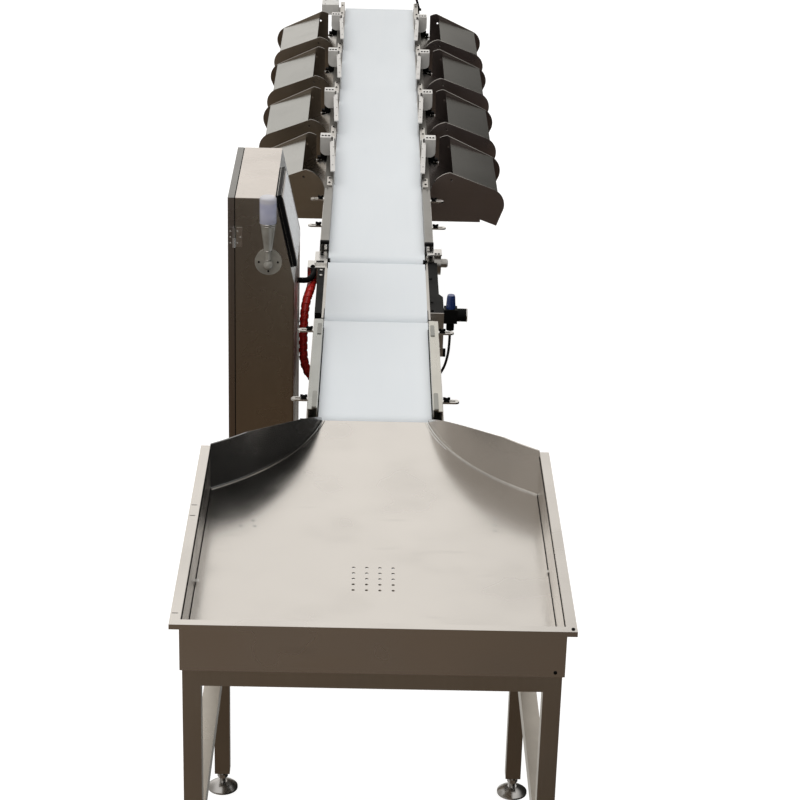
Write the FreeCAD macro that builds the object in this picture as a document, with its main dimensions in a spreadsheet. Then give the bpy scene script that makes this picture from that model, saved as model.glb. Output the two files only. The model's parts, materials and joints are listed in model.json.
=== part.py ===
"""Weight grading machine: feeding table, infeed belt, weighing belt and sorting belt in one line.

Millimetres. X runs across the line with the belts' centreline at 0, Y runs along the product flow,
Z is up and 0 is the floor. Y is 0 at half of the overall length. Lengths along the line are
written as stations, counted from the front lip of the feeding table.
"""
import FreeCAD, Part
import math
import os
import re

import Sketcher

VECTOR = FreeCAD.Vector

doc = FreeCAD.newDocument("weight_grading_machine")
sheet = doc.addObject("Spreadsheet::Sheet", "Sizes")

SIZES = [
    # Feeding table
    ("tray_width", 866), ("tray_depth", 920), ("tray_top", 1025), ("tray_height", 122),
    ("tray_sheet", 3), ("rim_width", 22), ("rim_drop", 12), ("rim_overhang", 20),
    ("throat_depth", 441), ("throat_width", 286), ("guide_radius", 695), ("guide_level", 80),
    ("guide_sheet", 3), ("guide_height", 122), ("guide_end", 8), ("guide_fall_radius", 1340),
    ("wedge_over", 10),
    ("drain_radius", 4), ("drain_pitch", 30.7), ("drain_step", 28), ("drain_start", 395),
    ("table_tube", 40), ("table_leg_inset", 5), ("table_leg_side", 5), ("table_rail_top", 515),
    ("rear_leg_behind", 26),
    # Feet
    ("foot_radius", 40), ("foot_edge", 5), ("foot_height", 20), ("foot_top_radius", 12),
    ("foot_dome", 60), ("stem_radius", 8), ("leg_bottom", 53), ("nut_radius", 14), ("nut_low", 34),
    ("nut_height", 10),
    # Belts
    ("belt_width", 310), ("belt_top", 910), ("belt_sheet", 3), ("roller_radius", 30),
    ("roller_gap", 0.3), ("shaft_radius", 10), ("belt_side_gap", 3), ("bed_end_gap", 8),
    ("throat_gap", 4), ("belt_gap", 10), ("belt_clear", 4),
    ("infeed_length", 755), ("weigh_length", 510), ("sort_tail", 398),
    # Side frames and guide rails
    ("frame_height", 90), ("frame_drop", 4), ("frame_web", 4), ("frame_flange", 28),
    ("weigh_plate", 6), ("weigh_plate_height", 78),
    ("rail_width", 26), ("rail_height", 30), ("rail_sheet", 2.5), ("rail_side_gap", 1),
    ("rail_inner_width", 15), ("rail_step", 4),
    ("infeed_rail_inset", 1), ("infeed_rail_length", 664),
    ("sort_rail_inset", 72), ("sort_rail_length", 583),
    ("arm_reach", 73), ("arm_width", 22), ("arm_sheet", 5), ("slot_length", 32), ("slot_width", 8),
    ("arm_near_inset", 134), ("arm_far_inset", 12), ("sort_arm_near_inset", 260),
    ("sort_arm_far_inset", 37),
    # Conveyor stand
    ("leg_tube", 40), ("stand_rail_bottom", 220),
    ("infeed_leg_a", 255), ("infeed_leg_b", 640), ("weigh_leg_a", 70), ("weigh_leg_b", 400),
    ("sort_leg_a", 110), ("sort_leg_pitch", 1080), ("weigh_base_height", 120),
    # Sorting bays
    ("pivot_first", 1190), ("bay_pitch", 634), ("pivot_side", 40), ("pivot_radius", 8),
    ("pivot_gap", 0.05), ("hub_radius", 15), ("hub_clear", 5), ("flap_length", 425),
    ("flap_sheet", 4), ("flap_belt_gap", 5), ("flap_top", 970), ("flap_heel_out", 7),
    ("flap_tip_in", 5), ("flap_flange", 16), ("flap_flange_stop", 56), ("flap_end_gap", 6),
    ("edge_height", 40), ("edge_sheet", 3), ("edge_flange", 18), ("edge_back", 40),
    ("edge_end_gap", 60), ("bracket_sheet", 4), ("bracket_width", 40), ("bracket_depth", 60),
    ("bracket_front", 46), ("bracket_inner", 23), ("bracket_round", 22),
    ("actuator_radius", 17), ("actuator_height", 46), ("actuator_neck", 10),
    ("actuator_neck_height", 14), ("port_reach", 28), ("port_width", 22), ("port_height", 20),
    # Chutes
    ("chute_back", 30), ("chute_width", 410), ("chute_sheet", 3),
    ("chute_reach", 424), ("chute_low", 780), ("chute_band", 120), ("chute_slope", 20.5),
    ("far_slope", 25), ("chute_round", 60), ("chute_shoulder", 254), ("chute_lip", 16), ("chute_shoulder_radius", 82),
    ("slide_lift", 14), ("cover_width", 159), ("cover_sheet", 2),
    ("side_hole", 4), ("side_hole_drop", 24), ("side_hole_reach", 260),
    ("drive_notch", 226),
    ("panel_bottom", 792), ("panel_reach", 366), ("panel_sheet", 3),
    # Control cabinet
    ("cabinet_right", 244), ("cabinet_width", 195), ("cabinet_start", 695), ("cabinet_depth", 505),
    ("cabinet_bottom", 150), ("cabinet_top", 1300), ("slope_bottom", 1040), ("slope_in", 57),
    ("door_sheet", 19), ("door_gap", 3), ("hinge_height", 60), ("hinge_radius", 5),
    ("hinge_pin", 3), ("hinge_leaf", 24), ("hinge_sheet", 3), ("hinge_notch", 6),
    ("hinge_high", 1150), ("hinge_low", 300), ("hinge_inset", 3),
    ("screen_width", 280), ("screen_height", 224), ("screen_sheet", 16), ("screen_glass", 3),
    ("screen_border", 12), ("screen_side", 30), ("screen_drop", 2), ("seat_gap", 0.2),
    # Beacon lamp
    ("beacon_side", 320), ("beacon_drop", 194), ("beacon_flange", 40), ("beacon_out", 30),
    ("beacon_neck", 12), ("beacon_lens_radius", 24.5), ("beacon_lens_lift", 128),
    ("beacon_lens_height", 82), ("beacon_plate", 6), ("beacon_arm", 10), ("beacon_ball", 15),
    ("beacon_stem", 9), ("beacon_stem_height", 44), ("beacon_round", 8), ("beacon_lens_rim", 2),
    # Weighing drive and air unit
    ("guard_width", 30), ("guard_wide", 42), ("guard_start", 60), ("guard_shoulder", 140),
    ("guard_slope", 24), ("guard_height", 57), ("drive_plate", 4), ("drive_strip", 14),
    ("drive_strip_drop", 84), ("drive_knob", 13), ("drive_knob_width", 8),
    ("bearing_radius", 38), ("bearing_width", 22), ("hub_out", 19), ("bearing_hub", 14),
    ("bearing_on", 16), ("bearing_lift", 8),
    ("motor_width", 22), ("motor_start", 40), ("motor_height", 78),
    ("holder_reach", 56), ("holder_length", 66), ("holder_sheet", 6), ("holder_drop", 56),
    ("holder_step", 34), ("holder_step_near", 26), ("holder_step_far", 60), ("conduit", 18),
    ("air_start", 50), ("air_body", 40), ("air_side", 206), ("air_low", 875), ("air_height", 44),
    ("air_knob", 14), ("air_knob_height", 42), ("air_gauge", 20), ("air_gauge_width", 28),
    ("air_bowl", 12), ("air_bowl_height", 26),
    ("air_knob_top", 11),
    # Far end
    ("end_box_width", 77), ("end_box_length", 100), ("end_box_height", 47), ("end_box_over", 33),
    ("end_box_inset", 10), ("post_radius", 5.5), ("post_length", 68), ("post_inset", 24),
    ("post_side", 30), ("post_lean", 16), ("post_block", 20), ("post_block_height", 8),
    # Hoses
    ("red_hose", 26), ("air_tube", 8),
]


def column_cell(index):
    return "A%d" % (index + 1)


for index, (alias, size) in enumerate(SIZES):
    sheet.set(column_cell(index), str(size))
    sheet.setAlias(column_cell(index), alias)
doc.recompute()

ALIASES = {alias for alias, size in SIZES}

# Share of the shorter run that a hose's arc takes on each side of a point
RUN_SHARE = 0.45


def bound(expression):
    """The same expression with each size read from the sheet."""
    def name(match):
        word = match.group(0)
        return "Sizes." + word if word in ALIASES else word
    return re.sub(r"[a-z_]+", name, str(expression))


def number(expression):
    return float(sheet.evalExpression(str(expression)))


# Stations along the line and heights that several pieces share
THROAT = "(tray_depth + throat_depth)"
INFEED = "(tray_depth + throat_depth + throat_gap)"
WEIGH = f"({INFEED} + infeed_length + belt_gap)"
SORT = f"({WEIGH} + weigh_length + belt_gap)"
SORT_LENGTH = "(pivot_first + 3 * bay_pitch + sort_tail)"
OVERALL = f"({SORT} + {SORT_LENGTH})"
MIDDLE = f"({OVERALL} / 2)"
DECK = "(tray_top - tray_height + tray_sheet)"
LOOP = "(roller_radius + roller_gap + belt_sheet)"
LOOP_INSIDE = "(roller_radius + roller_gap)"
FRAME_TOP = "(belt_top - frame_drop)"
UNDER_BELT = f"(belt_top - 2 * {LOOP} - belt_clear)"
FRAME_IN = "(belt_width / 2 + belt_side_gap)"
FRAME_OUT = "(belt_width / 2 + belt_side_gap + frame_flange)"
RAIL_IN = "(belt_width / 2 + rail_side_gap)"
RAIL_BOTTOM = f"({FRAME_TOP} + arm_sheet)"
PIVOT_X = "(belt_width / 2 + pivot_side)"
CABINET = f"({INFEED} + cabinet_start)"
TAN = "tan(chute_slope)"
COS = "cos(chute_slope)"
COVER_END = f"(chute_low + chute_band / {COS})"


def at(feature, x="0", y="0", z="0"):
    """Places a feature, with y given as a station."""
    feature.setExpression("Placement.Base.x", bound(x))
    feature.setExpression("Placement.Base.y", bound(f"{y} - {MIDDLE}"))
    feature.setExpression("Placement.Base.z", bound(z))
    return feature


def block(low_x, high_x, low_y, high_y, low_z, high_z):
    """A box between two values on each axis, with y as stations."""
    piece = doc.addObject("Part::Box", "block")
    piece.setExpression("Length", bound(f"({high_x}) - ({low_x})"))
    piece.setExpression("Width", bound(f"({high_y}) - ({low_y})"))
    piece.setExpression("Height", bound(f"({high_z}) - ({low_z})"))
    return at(piece, low_x, low_y, low_z)


TURNS = {
    "x": FreeCAD.Rotation(VECTOR(0, 1, 0), 90),
    "y": FreeCAD.Rotation(VECTOR(1, 0, 0), -90),
    "z": FreeCAD.Rotation(),
}


def rod(axis, radius, length, x, y, z):
    """A round bar along an axis, from its low end."""
    piece = doc.addObject("Part::Cylinder", "rod")
    piece.setExpression("Radius", bound(radius))
    piece.setExpression("Height", bound(length))
    piece.Placement = FreeCAD.Placement(VECTOR(), TURNS[axis])
    return at(piece, x, y, z)


def taper(low_radius, high_radius, length, x, y, z):
    piece = doc.addObject("Part::Cone", "taper")
    piece.setExpression("Radius1", bound(low_radius))
    piece.setExpression("Radius2", bound(high_radius))
    piece.setExpression("Height", bound(length))
    return at(piece, x, y, z)


def turned(corners, x, y):
    """A solid turned about an upright axis from the outline of its right half."""
    body = doc.addObject("PartDesign::Body", "turned")
    sketch = draw(body, "XZ_Plane", corners)
    spin = body.newObject("PartDesign::Revolution", "spin")
    spin.Profile = sketch
    spin.ReferenceAxis = (origin_plane(body, "Z_Axis"), [""])
    spin.Angle = 360
    sketch.Visibility = False
    return at(body, x, y)


def nut(radius, height, x, y, z):
    """A hexagonal nut."""
    piece = doc.addObject("Part::Prism", "nut")
    piece.Polygon = 6
    piece.setExpression("Circumradius", bound(radius))
    piece.setExpression("Height", bound(height))
    return at(piece, x, y, z)


def ball(radius, x, y, z):
    piece = doc.addObject("Part::Sphere", "ball")
    piece.setExpression("Radius", bound(radius))
    return at(piece, x, y, z)


def fused(pieces):
    joined = doc.addObject("Part::MultiFuse", "fused")
    joined.Shapes = pieces
    return joined


def cut(base, tool):
    rest = doc.addObject("Part::Cut", "cut")
    rest.Base = base
    rest.Tool = tool
    return rest


def mirrored(piece):
    """The same piece on the other side of the centreline."""
    other = doc.addObject("Part::Mirroring", "mirrored")
    other.Source = piece
    other.Normal = VECTOR(1, 0, 0)
    return other


def both_sides(pieces):
    return pieces + [mirrored(piece) for piece in pieces]


NODES = []


def node(label, pieces):
    """Names a sub-part, which is one piece or a group of like pieces."""
    if len(pieces) == 1:
        part = pieces[0]
    else:
        part = doc.addObject("Part::Compound", "group")
        part.Links = pieces
    part.Label = label
    NODES.append(part)
    return part


def origin_plane(body, role):
    return [item for item in body.Origin.OriginFeatures if item.Role == role][0]


def draw(body, plane, corners):
    """A closed outline. Each corner is (x, y) or (x, y, radius, side) for an arc to the next one.

    The side is 1 where the arc's centre lies left of the way to the next corner, else -1.
    """
    sketch = body.newObject("Sketcher::SketchObject", "outline")
    sketch.AttachmentSupport = [(origin_plane(body, plane), "")]
    sketch.MapMode = "FlatFace"
    spots = [VECTOR(number(corner[0]), number(corner[1]), 0) for corner in corners]
    count = len(corners)
    starts = []
    for index, corner in enumerate(corners):
        start = spots[index]
        end = spots[(index + 1) % count]
        if len(corner) == 2:
            sketch.addGeometry(Part.LineSegment(start, end), False)
            starts.append((1, 2))
            continue
        radius = number(corner[2])
        side = corner[3]
        chord = end - start
        left = VECTOR(-chord.y, chord.x, 0).normalize()
        reach = (radius ** 2 - (chord.Length / 2) ** 2) ** 0.5
        centre = (start + end) / 2 + left * reach * side
        circle = Part.Circle(centre, VECTOR(0, 0, 1), radius)
        first, last = (start, end) if side > 0 else (end, start)
        arc = Part.ArcOfCircle(circle, circle.parameter(first), circle.parameter(last))
        sketch.addGeometry(arc, False)
        starts.append((1, 2) if side > 0 else (2, 1))
    for index in range(count):
        following = (index + 1) % count
        sketch.addConstraint(Sketcher.Constraint(
            "Coincident", index, starts[index][1], following, starts[following][0]))
    for index, corner in enumerate(corners):
        for kind, value in (("DistanceX", corner[0]), ("DistanceY", corner[1])):
            place = sketch.addConstraint(Sketcher.Constraint(
                kind, -1, 1, index, starts[index][0], number(value)))
            sketch.setExpression(f"Constraints[{place}]", bound(value))
        if len(corner) > 2:
            place = sketch.addConstraint(Sketcher.Constraint("Radius", index, number(corner[2])))
            sketch.setExpression(f"Constraints[{place}]", bound(corner[2]))
    return sketch


def profile(plane, corners, length, y="0", x="0", z="0"):
    """A solid pushed out of an outline: along +Y from XZ_Plane, +X from YZ_Plane, +Z from XY_Plane."""
    body = doc.addObject("PartDesign::Body", "profile")
    sketch = draw(body, plane, corners)
    pad = body.newObject("PartDesign::Pad", "pad")
    pad.Profile = sketch
    pad.setExpression("Length", bound(length))
    pad.Reversed = plane == "XZ_Plane"
    sketch.Visibility = False
    return at(body, x, y, z)


def feed_tray():
    """A pan with a folded rim and drain holes, whose floor narrows to the belt's width."""
    half = "(tray_width / 2 - rim_overhang)"
    floor_z = f"({DECK} - tray_sheet)"
    floor = profile("XY_Plane", [
        (f"0 - {half}", "rim_overhang"),
        (half, "rim_overhang"),
        (half, "tray_depth"),
        (f"{half} - guide_sheet", "tray_depth", "guide_radius", -1),
        ("throat_width / 2", THROAT),
        ("0 - throat_width / 2", THROAT, "guide_radius", -1),
        (f"0 - {half} + guide_sheet", "tray_depth"),
        (f"0 - {half}", "tray_depth"),
    ], "tray_sheet", z=floor_z)
    walls = [
        block(f"0 - {half}", f"0 - {half} + tray_sheet", "rim_overhang", "tray_depth", floor_z, "tray_top"),
        block(f"{half} - tray_sheet", half, "rim_overhang", "tray_depth", floor_z, "tray_top"),
        block(f"0 - {half}", half, "rim_overhang", "rim_overhang + tray_sheet", floor_z, "tray_top"),
    ]
    outer = "tray_width / 2"
    rim_low = "tray_top - rim_drop"
    rims = [
        block(f"0 - {outer}", f"0 - {outer} + rim_width", "0", "tray_depth", rim_low, "tray_top"),
        block(f"{outer} - rim_width", outer, "0", "tray_depth", rim_low, "tray_top"),
        block(f"0 - {outer}", outer, "0", "rim_width", rim_low, "tray_top"),
    ]
    join = block(f"0 - {FRAME_OUT}", FRAME_OUT, f"{THROAT} - tray_sheet", THROAT,
                 f"{FRAME_TOP} - frame_height", DECK)
    tray = fused([floor, join] + walls + rims)
    drains = []
    for column in range(4):
        for row in range(5):
            drains.append(rod("z", "drain_radius", "3 * tray_sheet",
                              f"({column} - 1.5) * drain_pitch", f"drain_start + {row} * drain_step",
                              f"{floor_z} - tray_sheet"))
    node("feed_tray", [cut(tray, fused(drains))])


def guide_plates():
    """Upright funnel plates that curve from the tray's side walls to the belt and run out in height."""
    start_x = "(tray_width / 2 - rim_overhang - tray_sheet)"
    end_x = "(throat_width / 2)"
    plate = profile("XY_Plane", [
        (start_x, "tray_depth", "guide_radius", -1),
        (end_x, THROAT),
        (f"{end_x} + guide_sheet", THROAT, "guide_radius - guide_sheet", 1),
        (start_x, "tray_depth + 2 * guide_sheet"),
    ], "guide_height", z=DECK)
    slope_start = "(tray_depth + guide_level)"
    wedge = profile("YZ_Plane", [
        (slope_start, f"{DECK} + guide_height", "guide_fall_radius", -1),
        (f"{THROAT} + 1", f"{DECK} + guide_end"),
        (f"{THROAT} + 1", f"{DECK} + guide_height + wedge_over"),
        (slope_start, f"{DECK} + guide_height + wedge_over"),
    ], "tray_width / 2")
    right = cut(plate, wedge)
    node("guide_plates", both_sides([right]))


def table_frame():
    """Square tubes: four legs, a rail round the top and a rail along each side at knee height."""
    outer = "(tray_width / 2 - rim_overhang - table_leg_side)"
    inner = f"({outer} - table_tube)"
    front = "(rim_overhang + table_leg_inset)"
    rear = "(tray_depth + rear_leg_behind)"
    top = f"({DECK} - tray_sheet)"
    legs = []
    for start in (front, rear):
        legs.append(block(inner, outer, start, f"{start} + table_tube", "leg_bottom", top))
    node("table_legs", both_sides(legs))
    cross = []
    for start in (front, rear):
        cross.append(block(f"0 - {inner}", inner, start, f"{start} + table_tube",
                           f"{top} - table_tube", top))
    cross.append(block(f"0 - {inner}", inner, rear, f"{rear} + table_tube",
                       "table_rail_top - table_tube", "table_rail_top"))
    node("table_cross_rails", cross)
    side = []
    for high in (top, "table_rail_top"):
        side.append(block(inner, outer, f"{front} + table_tube", rear, f"{high} - table_tube", high))
    node("table_side_rails", both_sides(side))
    middle = f"({outer} - table_tube / 2)"
    return [(middle, f"({start} + table_tube / 2)") for start in (front, rear)]


def foot(x, y):
    """A domed levelling foot with its stem and lock nut."""
    dome = turned([
        ("0", "0"),
        ("foot_radius", "0"),
        ("foot_radius", "foot_edge", "foot_dome", 1),
        ("foot_top_radius", "foot_height"),
        ("0", "foot_height"),
    ], x, y)
    stem = rod("z", "stem_radius", "leg_bottom - foot_height / 2", x, y, "foot_height / 2")
    return fused([dome, stem, nut("nut_radius", "nut_height", x, y, "nut_low")])


def loop(start, length):
    """A belt: a flat loop round two rollers."""
    def flat_loop(radius, width):
        side = f"0 - {width} / 2"
        near = f"({start} + {LOOP})"
        far = f"({start} + {length} - {LOOP})"
        middle = f"(belt_top - {LOOP})"
        return fused([
            rod("x", radius, width, side, near, middle),
            rod("x", radius, width, side, far, middle),
            block(side, f"{width} / 2", near, far, f"{middle} - {radius}", f"{middle} + {radius}"),
        ])
    return cut(flat_loop(LOOP, "belt_width"), flat_loop(LOOP_INSIDE, "(belt_width + 2)"))


def conveyors():
    """Three belts with their rollers and beds."""
    spans = [("infeed_belt", INFEED, "infeed_length"), ("weigh_belt", WEIGH, "weigh_length"),
             ("sort_belt", SORT, SORT_LENGTH)]
    rollers = []
    beds = []
    middle = f"(belt_top - {LOOP})"
    for label, start, length in spans:
        node(label, [loop(start, length)])
        for centre in (f"({start} + {LOOP})", f"({start} + {length} - {LOOP})"):
            rollers.append(fused([
                rod("x", "roller_radius", "belt_width", "0 - belt_width / 2", centre, middle),
                rod("x", "shaft_radius", f"2 * {FRAME_IN}", f"0 - {FRAME_IN}", centre, middle),
            ]))
        beds.append(block(f"0 - {FRAME_IN}", FRAME_IN,
                          f"{start} + 2 * {LOOP} + bed_end_gap",
                          f"{start} + {length} - 2 * {LOOP} - bed_end_gap",
                          f"{middle} - {LOOP_INSIDE}", f"{middle} + {LOOP_INSIDE}"))
    node("end_rollers", rollers)
    node("belt_beds", beds)


def side_frame(start, length):
    """An edge channel with its flanges outward."""
    low = f"({FRAME_TOP} - frame_height)"
    return profile("XZ_Plane", [
        (FRAME_IN, low),
        (FRAME_OUT, low),
        (FRAME_OUT, f"{low} + frame_web"),
        (f"{FRAME_IN} + frame_web", f"{low} + frame_web"),
        (f"{FRAME_IN} + frame_web", f"{FRAME_TOP} - frame_web"),
        (FRAME_OUT, f"{FRAME_TOP} - frame_web"),
        (FRAME_OUT, FRAME_TOP),
        (FRAME_IN, FRAME_TOP),
    ], length, y=start)


def side_frames():
    node("infeed_side_frames", both_sides([side_frame(THROAT, "throat_gap + infeed_length")]))
    node("sort_side_frames", both_sides([side_frame(SORT, SORT_LENGTH)]))
    weigh = block(FRAME_IN, f"{FRAME_IN} + weigh_plate", WEIGH, f"{WEIGH} + weigh_length",
                  f"{FRAME_TOP} - weigh_plate_height", FRAME_TOP)
    node("weigh_side_plates", both_sides([weigh]))


def guide_rail(start, length):
    """A folded channel, open below and stepped on top, that stands beside the belt."""
    top = f"({RAIL_BOTTOM} + rail_height)"
    ledge = f"({top} - rail_step)"
    step = f"({RAIL_IN} + rail_inner_width)"
    outside = f"({RAIL_IN} + rail_width)"
    return profile("XZ_Plane", [
        (RAIL_IN, RAIL_BOTTOM),
        (f"{RAIL_IN} + rail_sheet", RAIL_BOTTOM),
        (f"{RAIL_IN} + rail_sheet", f"{top} - rail_sheet"),
        (f"{step} - rail_sheet", f"{top} - rail_sheet"),
        (f"{step} - rail_sheet", f"{ledge} - rail_sheet"),
        (f"{outside} - rail_sheet", f"{ledge} - rail_sheet"),
        (f"{outside} - rail_sheet", RAIL_BOTTOM),
        (outside, RAIL_BOTTOM),
        (outside, ledge),
        (step, ledge),
        (step, top),
        (RAIL_IN, top),
    ], length, y=start)


def rail_arm(centre):
    """A slotted, round-ended bar that carries a guide rail from the side frame's top."""
    end = f"({FRAME_IN} + arm_reach - arm_width / 2)"
    low = FRAME_TOP
    bar = block(FRAME_IN, end, f"{centre} - arm_width / 2", f"{centre} + arm_width / 2",
                low, f"{low} + arm_sheet")
    nose = rod("z", "arm_width / 2", "arm_sheet", end, centre, low)
    slot = block(f"{end} - slot_length", end, f"{centre} - slot_width / 2",
                 f"{centre} + slot_width / 2", f"{low} - 1", f"{low} + arm_sheet + 1")
    return cut(fused([bar, nose]), slot)


def guide_rails():
    infeed = f"({INFEED} + infeed_rail_inset)"
    sort = f"({SORT} + sort_rail_inset)"
    node("infeed_guide_rails", both_sides([guide_rail(infeed, "infeed_rail_length")]))
    node("lead_in_guide_rails", both_sides([guide_rail(sort, "sort_rail_length")]))
    centres = [f"({infeed} + arm_near_inset)", f"({infeed} + infeed_rail_length - arm_far_inset)",
               f"({sort} + sort_arm_near_inset)", f"({sort} + sort_rail_length - sort_arm_far_inset)"]
    node("guide_rail_arms", both_sides([rail_arm(centre) for centre in centres]))


def conveyor_stand():
    """Pairs of square legs inside the side frames, tied by cross rails and by rails along the line."""
    base_low = f"({UNDER_BELT} - weigh_base_height)"
    starts = [(f"({INFEED} + infeed_leg_a)", UNDER_BELT), (f"({INFEED} + infeed_leg_b)", UNDER_BELT)]
    starts += [(f"({WEIGH} + weigh_leg_a)", base_low), (f"({WEIGH} + weigh_leg_b)", base_low)]
    starts += [(f"({SORT} + sort_leg_a + {step} * sort_leg_pitch)", UNDER_BELT) for step in range(4)]
    legs = []
    rails = []
    spots = []
    inner = f"({FRAME_IN} - leg_tube)"
    for start, top in starts:
        legs.append(block(inner, FRAME_IN, start, f"{start} + leg_tube", "leg_bottom", top))
        rails.append(block(f"0 - {inner}", inner, start, f"{start} + leg_tube",
                           "stand_rail_bottom", "stand_rail_bottom + leg_tube"))
        spots.append((f"({FRAME_IN} - leg_tube / 2)", f"({start} + leg_tube / 2)"))
    ties = []
    for (start, _), (following, _) in zip(starts, starts[1:]):
        ties.append(block(inner, FRAME_IN, f"{start} + leg_tube", following,
                          "stand_rail_bottom", "stand_rail_bottom + leg_tube"))
    node("conveyor_legs", both_sides(legs))
    node("conveyor_cross_rails", rails)
    node("conveyor_side_rails", both_sides(ties))
    base = block(f"0 - {FRAME_IN}", FRAME_IN, f"{WEIGH} + weigh_leg_a",
                 f"{WEIGH} + weigh_leg_b + leg_tube", base_low, UNDER_BELT)
    node("weigh_base", [base])
    links = []
    for start in ("weigh_leg_a", "weigh_leg_b"):
        links.append(block("0 - cabinet_right", f"0 - {FRAME_IN}", f"{WEIGH} + {start}",
                           f"{WEIGH} + {start} + leg_tube", "stand_rail_bottom", "stand_rail_bottom + leg_tube"))
    node("cabinet_links", links)
    return spots


def chute_side(slope):
    """A chute's side plate: a sloping band with a rounded outer corner and a curved shoulder."""
    inner = FRAME_OUT
    band = f"(chute_band * cos({slope}) / {COS})"
    top_x = f"(chute_reach + {band} * sin({slope}))"
    top_z = f"(chute_low + {band} * cos({slope}))"
    return [
        (inner, f"chute_low + (chute_reach - {inner}) * {TAN}"),
        (inner, "belt_top - chute_lip", "chute_shoulder_radius", -1),
        ("chute_shoulder", f"{COVER_END} + (chute_reach - chute_shoulder) * tan({slope})"),
        (f"{top_x} - chute_round * cos({slope})", f"{top_z} + chute_round * sin({slope})", "chute_round", -1),
        (f"{top_x} - chute_round * sin({slope})", f"{top_z} - chute_round * cos({slope})"),
        ("chute_reach", "chute_low"),
    ]


def cover(wide, start):
    """A thin sloping sheet that is level with the near side plate's top edge."""
    low = f"({COVER_END} - cover_sheet / {COS})"
    inner = "(chute_reach - cover_width)"
    return profile("XZ_Plane", [
        ("chute_reach", low),
        ("chute_reach", COVER_END),
        (inner, f"{COVER_END} + cover_width * {TAN}"),
        (inner, f"{low} + cover_width * {TAN}"),
    ], wide, y=start)


def sloped_sheet(low_x, high_x, end_z, wide, thick, start):
    """A sheet that slopes down and out, between two distances from the centreline."""
    return profile("XZ_Plane", [
        (high_x, end_z),
        (high_x, f"{end_z} + {thick} / {COS}"),
        (low_x, f"{end_z} + {thick} / {COS} + ({high_x} - {low_x}) * {TAN}"),
        (low_x, f"{end_z} + ({high_x} - {low_x}) * {TAN}"),
    ], wide, y=start)


def chutes():
    """Eight chutes: a side plate, a steeper far one cut away round the drive, a slide and a cover each."""
    sides = []
    slides = []
    covers = []
    for bay in range(4):
        pivot = f"({SORT} + pivot_first + {bay} * bay_pitch)"
        far = f"({pivot} - chute_back)"
        near = f"({far} - chute_width)"
        between = "(chute_width - 2 * chute_sheet)"
        for start, slope in ((near, "chute_slope"), (f"({far} - chute_sheet)", "far_slope")):
            plate = profile("XZ_Plane", chute_side(slope), "chute_sheet", y=start)
            hole = rod("y", "side_hole", "chute_sheet + 2", "side_hole_reach", f"{start} - 1",
                       f"{COVER_END} + (chute_reach - side_hole_reach) * {TAN} - side_hole_drop")
            sides.append(cut(plate, hole))
        room = block(FRAME_IN, "drive_notch", f"{far} - 2 * chute_sheet", f"{far} + chute_sheet",
                     "chute_low", "cabinet_top")
        sides[-1] = cut(sides[-1], room)
        slides.append(sloped_sheet(FRAME_OUT, "chute_reach", "(chute_low + slide_lift)",
                                   between, "chute_sheet", f"{near} + chute_sheet"))
        covers.append(cover(between, f"{near} + chute_sheet"))
    node("chute_side_plates", both_sides(sides))
    node("chute_slides", both_sides(slides))
    node("chute_covers", both_sides(covers))
    starts = [f"({SORT} + pivot_first + {bay} * bay_pitch - chute_back - chute_width)" for bay in range(4)]
    starts.append(f"({SORT} + pivot_first + 3 * bay_pitch - chute_back - chute_sheet)")
    panels = []
    for start in starts:
        panels.append(profile("XZ_Plane", [
            (FRAME_OUT, "panel_bottom"),
            ("panel_reach", "panel_bottom"),
            ("panel_reach", f"chute_low + (chute_reach - panel_reach) * {TAN}"),
            (FRAME_OUT, f"chute_low + (chute_reach - {FRAME_OUT}) * {TAN}"),
        ], "panel_sheet", y=start))
    node("chute_end_panels", both_sides(panels))


def flap(pivot):
    """A folded blade beside the belt, with a hub behind it that turns on an upright pin."""
    low = "(belt_top + flap_belt_gap)"
    high = "(flap_top - hub_clear)"
    heel = "(belt_width / 2 + flap_heel_out)"
    tip = "(belt_width / 2 - flap_tip_in)"
    free = f"({pivot} - flap_length)"
    stop = f"({heel} - (flap_heel_out + flap_tip_in) * flap_flange_stop / flap_length)"
    blade = profile("XY_Plane", [
        (tip, free),
        (f"{tip} + flap_sheet", free),
        (f"{heel} + flap_sheet", pivot),
        (heel, pivot),
    ], f"{high} - {low}", z=low)
    flange = profile("XY_Plane", [
        (tip, free),
        (f"{tip} + flap_flange", free),
        (f"{stop} + flap_flange", f"{pivot} - flap_flange_stop"),
        (stop, f"{pivot} - flap_flange_stop"),
    ], "flap_sheet", z=f"{high} - flap_sheet")
    link = block(heel, PIVOT_X, f"{pivot} - flap_sheet", f"{pivot} + flap_sheet", low, high)
    hub_low = f"({FRAME_TOP} + hub_clear)"
    hub = rod("z", "hub_radius", f"{high} - {hub_low}", PIVOT_X, pivot, hub_low)
    bore = rod("z", "pivot_radius + pivot_gap", "flap_top", PIVOT_X, pivot, FRAME_TOP)
    return cut(fused([blade, flange, link, hub]), bore)


def pivot_bracket(pivot):
    """A plate folded over the flap's pin, with a round lower corner, that stands on the side frame."""
    inner = f"({PIVOT_X} - bracket_inner)"
    outer = f"({inner} + bracket_width)"
    front = f"({pivot} - bracket_front)"
    face = profile("XZ_Plane", [
        (inner, FRAME_TOP),
        (f"{outer} - bracket_round", FRAME_TOP, "bracket_round", 1),
        (outer, f"{FRAME_TOP} + bracket_round"),
        (outer, "flap_top + bracket_sheet"),
        (inner, "flap_top + bracket_sheet"),
    ], "bracket_sheet", y=front)
    cap = block(inner, outer, front, f"{front} + bracket_depth", "flap_top", "flap_top + bracket_sheet")
    pin_low = f"({FRAME_TOP} - frame_web)"
    pin = rod("z", "pivot_radius", f"flap_top - {pin_low}", PIVOT_X, pivot, pin_low)
    return fused([face, cap, pin])


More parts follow.
